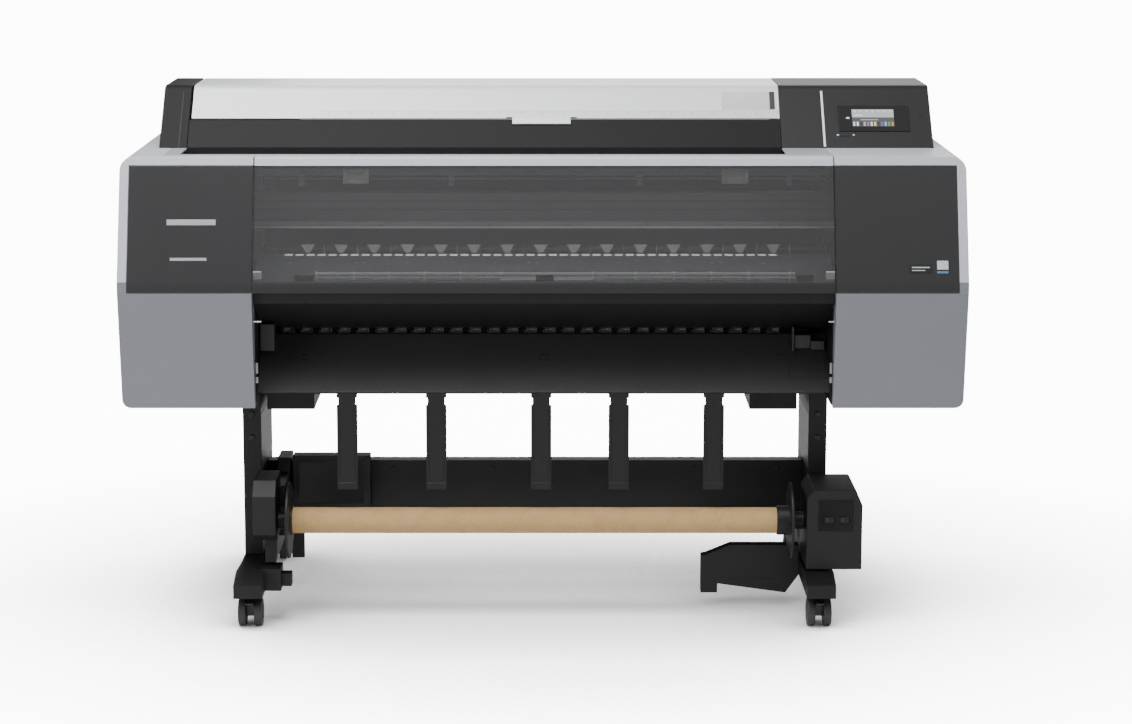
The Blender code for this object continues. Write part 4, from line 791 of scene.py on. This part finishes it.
holder_grey = moulded("roller_holder", (0.26, 0.26, 0.265), 0.6, 600.0, 0.00001)
HOLDER_PITCH = 0.0770
HOLDER_X0 = -0.5445
HOLDER_COUNT = 15
for number in range(HOLDER_COUNT):
    x = HOLDER_X0 + number * HOLDER_PITCH
    holder = add_block("roller_holder_%d" % (number + 1), (x - 0.016, -0.1175, 0.8400),
                       (x + 0.016, -0.1075, 0.8588), 0.0)
    choose_faces(holder, lambda face: face.normal.z < -0.9)
    bpy.ops.transform.resize(value=(0.3, 0.7, 1.0), center_override=(x, -0.1125, 0.8400))
    bpy.ops.object.mode_set(mode="OBJECT")
    choose_faces(holder, lambda face: face.normal.y < -0.7)
    bpy.ops.mesh.inset(thickness=0.002, depth=-0.0012)
    bpy.ops.object.mode_set(mode="OBJECT")
    fitted(rounded(holder, 0.0006), holder_grey, "root", "black_plastic")
    fin = add_block("roller_fin_%d" % (number + 1), (x + 0.0375, -0.1185, 0.8385),
                    (x + 0.0385, -0.1075, 0.8588), 0.0003)
    fitted(fin, holder_grey, "root", "black_plastic")

DOT_SPOTS = (-0.577, -0.508, -0.427, -0.407, -0.306, -0.226, -0.207, -0.110, -0.032, -0.013,
             0.085, 0.173, 0.193, 0.288, 0.384, 0.406, 0.503, 0.588)
dots = [(x, -0.2185, platen_high.z - 0.0067) for x in DOT_SPOTS]
fitted(spread(add_screw("platen_screws", 0.0030, 0.0012), dots, FACING["up"]), zinc, "root", "steel")

head_beam = add_block("head_beam", (front_low.x + 0.006, -0.1985, 1.0300),
                      (front_high.x - 0.006, -0.1845, 1.0460), 0.001)
fitted(head_beam, holder_grey, "root", "black_metal")
head_lip = add_block("head_beam_lip", (front_low.x + 0.006, -0.2010, 1.0215),
                     (front_high.x - 0.006, -0.1845, 1.0250), 0.0008)
fitted(head_lip, holder_grey, "root", "black_metal")
head_screws = [(x, -0.1985, 1.0130) for x in (-0.549, -0.208, 0.2195, 0.559)]
hangers = [add_block("head_beam_hanger_%d" % number, (spot[0] - 0.007, -0.1985, 1.0060),
                     (spot[0] + 0.007, -0.1945, 1.0300), 0.0008)
           for number, spot in enumerate(head_screws, 1)]
for hanger in hangers:
    fitted(hanger, holder_grey, "root", "black_metal")
fitted(spread(add_screw("head_beam_screws", 0.0042, 0.0018), head_screws, FACING["front"]),
       zinc, "root", "steel")

inner_lamp = bpy.data.lights.new("inner_lamp", "AREA")
inner_lamp.shape = "RECTANGLE"
inner_lamp.size = 1.24
inner_lamp.size_y = 0.02
inner_lamp.energy = 2.6
inner_light = bpy.data.objects.new("inner_lamp", inner_lamp)
bpy.context.scene.collection.objects.link(inner_light)
inner_light.location = (0.0, -0.250, 0.975)
inner_light.rotation_euler = (math.radians(24.0), 0.0, 0.0)


# ---------------------------------------------------------------- output bay
# Star wheels in small holders press the sheet on its way out, above a bent chute with a short
# extra flap at the right. The covers' steel hinge pins and catches show at both ends.
STAR_COUNT = 27
STAR_PITCH = 0.0432
wheel_black = moulded("star_wheel_holder", (0.020, 0.020, 0.021), 0.45)
for number in range(STAR_COUNT):
    x = -0.600 + number * STAR_PITCH
    holder = add_block("star_holder_%d" % (number + 1), (x, -0.1375, 0.6560),
                       (x + 0.024, -0.1290, 0.6702), 0.0006)
    choose_faces(holder, lambda face: face.normal.y < -0.9)
    bpy.ops.mesh.inset(thickness=0.0022, depth=-0.002)
    bpy.ops.object.mode_set(mode="OBJECT")
    fitted(holder, wheel_black, "root", "black_plastic")
wheel = add_round("star_wheels", (0.0, 0.0, -0.0008), 0.0058, 0.0016, 16)
choose_faces(wheel, lambda face: abs(face.normal.z) > 0.9)
bpy.ops.mesh.inset(thickness=0.0018, depth=-0.0004, use_individual=True)
bpy.ops.object.mode_set(mode="OBJECT")
spots = [(-0.6035 + number * STAR_PITCH, -0.1335, 0.6600) for number in range(STAR_COUNT)]
fitted(spread(wheel, spots, FACING["right"]), rubber, "root", "roller_rubber")

CHUTE_FOOT = Vector((0.0, -0.2435, 0.537))
CHUTE_WAY = Vector((0.0, 0.080, 0.077)).normalized()
CHUTE_OUT = Vector((0.0, -CHUTE_WAY.z, CHUTE_WAY.y))
# Painted shade: near-black flat plates stand for the slots in the chute, with their darkness painted rather
# than cut.
slot_painted_shade = moulded("slot_painted_shade", (0.002, 0.002, 0.002), 0.8)
slots = ((-0.5575, -0.5455, 0.1030), (-0.5555, -0.5435, 0.0885), (-0.0080, 0.0150, 0.1030),
         (-0.0110, -0.0020, 0.0885), (0.0065, 0.0155, 0.0885), (0.5400, 0.5520, 0.1030),
         (0.5410, 0.5455, 0.0885))
for number, (x0, x1, up) in enumerate(slots, 1):
    slot = add_block("chute_slot_%d" % number, (x0, up, -0.0004), (x1, up + 0.0035, 0.0003), 0.0001)
    fitted(lay_on(slot, CHUTE_FOOT, CHUTE_WAY, CHUTE_OUT), slot_painted_shade, "root", "black_plastic")
flap = add_block("chute_flap", (0.567, 0.039, 0.0002), (0.6515, 0.1050, 0.0018), 0.0006)
fitted(lay_on(flap, CHUTE_FOOT, CHUTE_WAY, CHUTE_OUT), chute_black, "root", "black_plastic")
for name, low, high in (("edge_guide_fin", (0.5755, -0.172, 0.618), (0.5805, -0.138, 0.676)),
                        ("edge_guide_step", (0.5810, -0.160, 0.622), (0.6200, -0.138, 0.655)),
                        ("edge_guide_shelf", (0.6200, -0.166, 0.620), (0.6515, -0.138, 0.642)),
                        ("edge_guide_left", (-0.6515, -0.190, 0.622), (-0.6180, -0.138, 0.686))):
    fitted(add_block(name, low, high, 0.0025, 3), wheel_black, "root", "black_plastic")
for side, x0, x1 in (("left", -0.6525, -0.6340), ("right", 0.6430, 0.6568)):
    pin = spread(add_round("cover_stop_pin_" + side, (0.0, 0.0, 0.0), 0.0022, x1 - x0, 16),
                 [(x0, -0.3135, 0.7130)], FACING["right"])
    fitted(rounded(pin, 0.0004), ground_steel, "root", "steel")
    latch_x = x0 if side == "left" else x1 - 0.006
    for name, z0, z1 in (("keep", 0.588, 0.613), ("strike", 0.566, 0.580)):
        latch = add_block("cover_%s_%s" % (name, side), (latch_x, -0.2835, z0),
                          (latch_x + 0.006, -0.2775, z1), 0.0008)
        fitted(latch, zinc, "root", "steel")


# ---------------------------------------------------------------- carriage
# The print carriage hangs on a folded steel rail and is pulled along it by a toothed belt. The
# rail's lower flange is left bright where the carriage runs.
rail_coat = powder_coat("rail_coat", (0.05, 0.05, 0.052), 0.45)
level = rail_coat.along("Z")
flange = (level > 0.8850) * (level < 0.9015)
bright = (level > 0.8862) * (level < 0.8898)
rail_coat.set("Base Color", rail_coat.mix(bright, rail_coat.mix(flange, (0.050, 0.050, 0.052),
                                                               (0.17, 0.17, 0.175)), (0.42, 0.42, 0.43)))
recast("carriage_rail", rail_coat, "black_metal", 0.001)
recast("print_carriage", charcoal, "dark_cover", 0.003)
recast("print_head", ground_steel, "steel", 0.0006)
recast("carriage_belt", rubber, "belt", 0.0)
rail_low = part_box("carriage_rail")[0]
rail_holes = [(x, rail_low.y + 0.0001, 0.8960)
              for x in (-0.518, -0.379, -0.123, 0.0593, 0.2443, 0.4150, 0.5555)]
fitted(spread(add_screw("rail_screws", 0.0028, 0.0004), rail_holes, FACING["front"]),
       black_screw, "root", "black_metal")


# ---------------------------------------------------------------- take-up reel
# A spiral-wound paperboard core between two flanges: a motor unit on the right with its two
# switches, a movable unit with a lock lever on the left, a control box and the loop sensors.
core_low, core_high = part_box("reel_core")
core_middle = (core_low + core_high) / 2
WRAP = 0.115
kraft = Finish("kraft_core", (0.50, 0.31, 0.12), 0.75)
angle = kraft.node("ShaderNodeMath", {"operation": "ARCTAN2"},
                   {0: kraft.along("Z") - core_middle.z, 1: kraft.along("Y") - core_middle.y})
spiral = kraft.along("X") + angle * (WRAP / math.tau)
seam = kraft.node("ShaderNodeMath", {"operation": "PINGPONG"}, {0: spiral, 1: WRAP / 2}) < 0.0005
fibre = kraft.noise(160.0, 6.0, (1.0, 3.0, 3.0))
mottle = kraft.noise(28.0, 3.0)
board = kraft.mix(fibre, (0.33, 0.195, 0.072), (0.52, 0.335, 0.142))
board = kraft.mix(kraft.clamp(mottle, 0.35, 0.7) * 0.35, board, (0.56, 0.38, 0.18))
kraft.set("Base Color", kraft.mix(seam * 0.55, board, (0.22, 0.14, 0.065)))
kraft.set("Roughness", 0.7 + fibre * 0.15)
kraft.bump(fibre - seam * 0.6, 0.00008)
recast("reel_core", kraft, "card", 0.0006)
for part in ("drive_flange", "idler_flange", "reel_drive_unit", "reel_movable_unit",
             "reel_lock_lever", "reel_control_box", "loop_sensor_arm"):
    recast(part, black_moulding, "black_plastic", 0.0016)

drive_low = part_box("reel_drive_unit")[0]
panel = add_block("drive_unit_panel", (0.6300, drive_low.y - 0.0012, 0.2225),
                  (0.7105, drive_low.y + 0.001, 0.2960), 0.0008)
choose_faces(panel, lambda face: face.normal.y < -0.9)
bpy.ops.mesh.inset(thickness=0.0025, depth=-0.0008)
bpy.ops.object.mode_set(mode="OBJECT")
fitted(panel, charcoal, "root", "black_plastic")
for name, x in (("direction", 0.654), ("mode", 0.689)):
    bezel = add_block("%s_switch_bezel" % name, (x - 0.011, drive_low.y - 0.0026, 0.2415),
                      (x + 0.011, drive_low.y - 0.0002, 0.2565), 0.0008)
    choose_faces(bezel, lambda face: face.normal.y < -0.9)
    bpy.ops.mesh.inset(thickness=0.0018, depth=-0.0016)
    bpy.ops.object.mode_set(mode="OBJECT")
    fitted(bezel, black_moulding, "root", "black_plastic")
    rocker = add_block("%s_switch" % name, (x - 0.008, drive_low.y - 0.0034, 0.2440),
                       (x + 0.001, drive_low.y - 0.0006, 0.2540), 0.0012, 3)
    fitted(rocker, nylon, "root", "black_plastic")

box_low, box_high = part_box("reel_control_box")
lid = add_block("control_box_lid", (box_low.x + 0.012, box_low.y - 0.0014, box_low.z + 0.012),
                (box_high.x - 0.012, box_low.y + 0.001, box_high.z - 0.012), 0.0012)
choose_faces(lid, lambda face: face.normal.y < -0.9)
bpy.ops.mesh.inset(thickness=0.004, depth=-0.0006)
bpy.ops.object.mode_set(mode="OBJECT")
fitted(lid, black_moulding, "root", "black_plastic")
lid_screws = [(x, box_low.y - 0.001, z) for x in (box_low.x + 0.006, box_high.x - 0.006)
              for z in (box_low.z + 0.008, box_high.z - 0.008)]
fitted(spread(add_screw("control_box_screws", 0.003, 0.0014), lid_screws, FACING["front"]),
       black_screw, "root", "black_metal")
arm_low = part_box("loop_sensor_arm")[0]
SENSOR_COUNT = 10
SENSOR_PITCH = 0.013
# Painted shade: the loop-sensor holes are near-black flat discs, not openings.
sensor_holes = [(0.440 + number * SENSOR_PITCH, arm_low.y + 0.0001, 0.0705) for number in range(SENSOR_COUNT)]
fitted(spread(add_screw("sensor_arm_holes", 0.0022, 0.0004), sensor_holes, FACING["front"]),
       slot_painted_shade, "root", "black_plastic")


# ---------------------------------------------------------------- paper supports
# Five flat moulded guides that hang under the chute and lead the print down to the reel, each
# with two thin ribs down its length.
SUPPORT_COUNT = 5
for number in range(1, SUPPORT_COUNT + 1):
    recast("paper_support_%d" % number, black_moulding, "black_plastic", 0.0012)
    low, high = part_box("paper_support_%d" % number)
    for side, x in (("left", low.x + 0.006), ("right", high.x - 0.006)):
        rib = add_block("support_rib_%d_%s" % (number, side), (x - 0.0008, low.y + 0.0028, low.z + 0.030),
                        (x + 0.0008, low.y + 0.0046, high.z - 0.036), 0.0005)
        fitted(rib, black_moulding, "paper_support_%d" % number, "black_plastic")
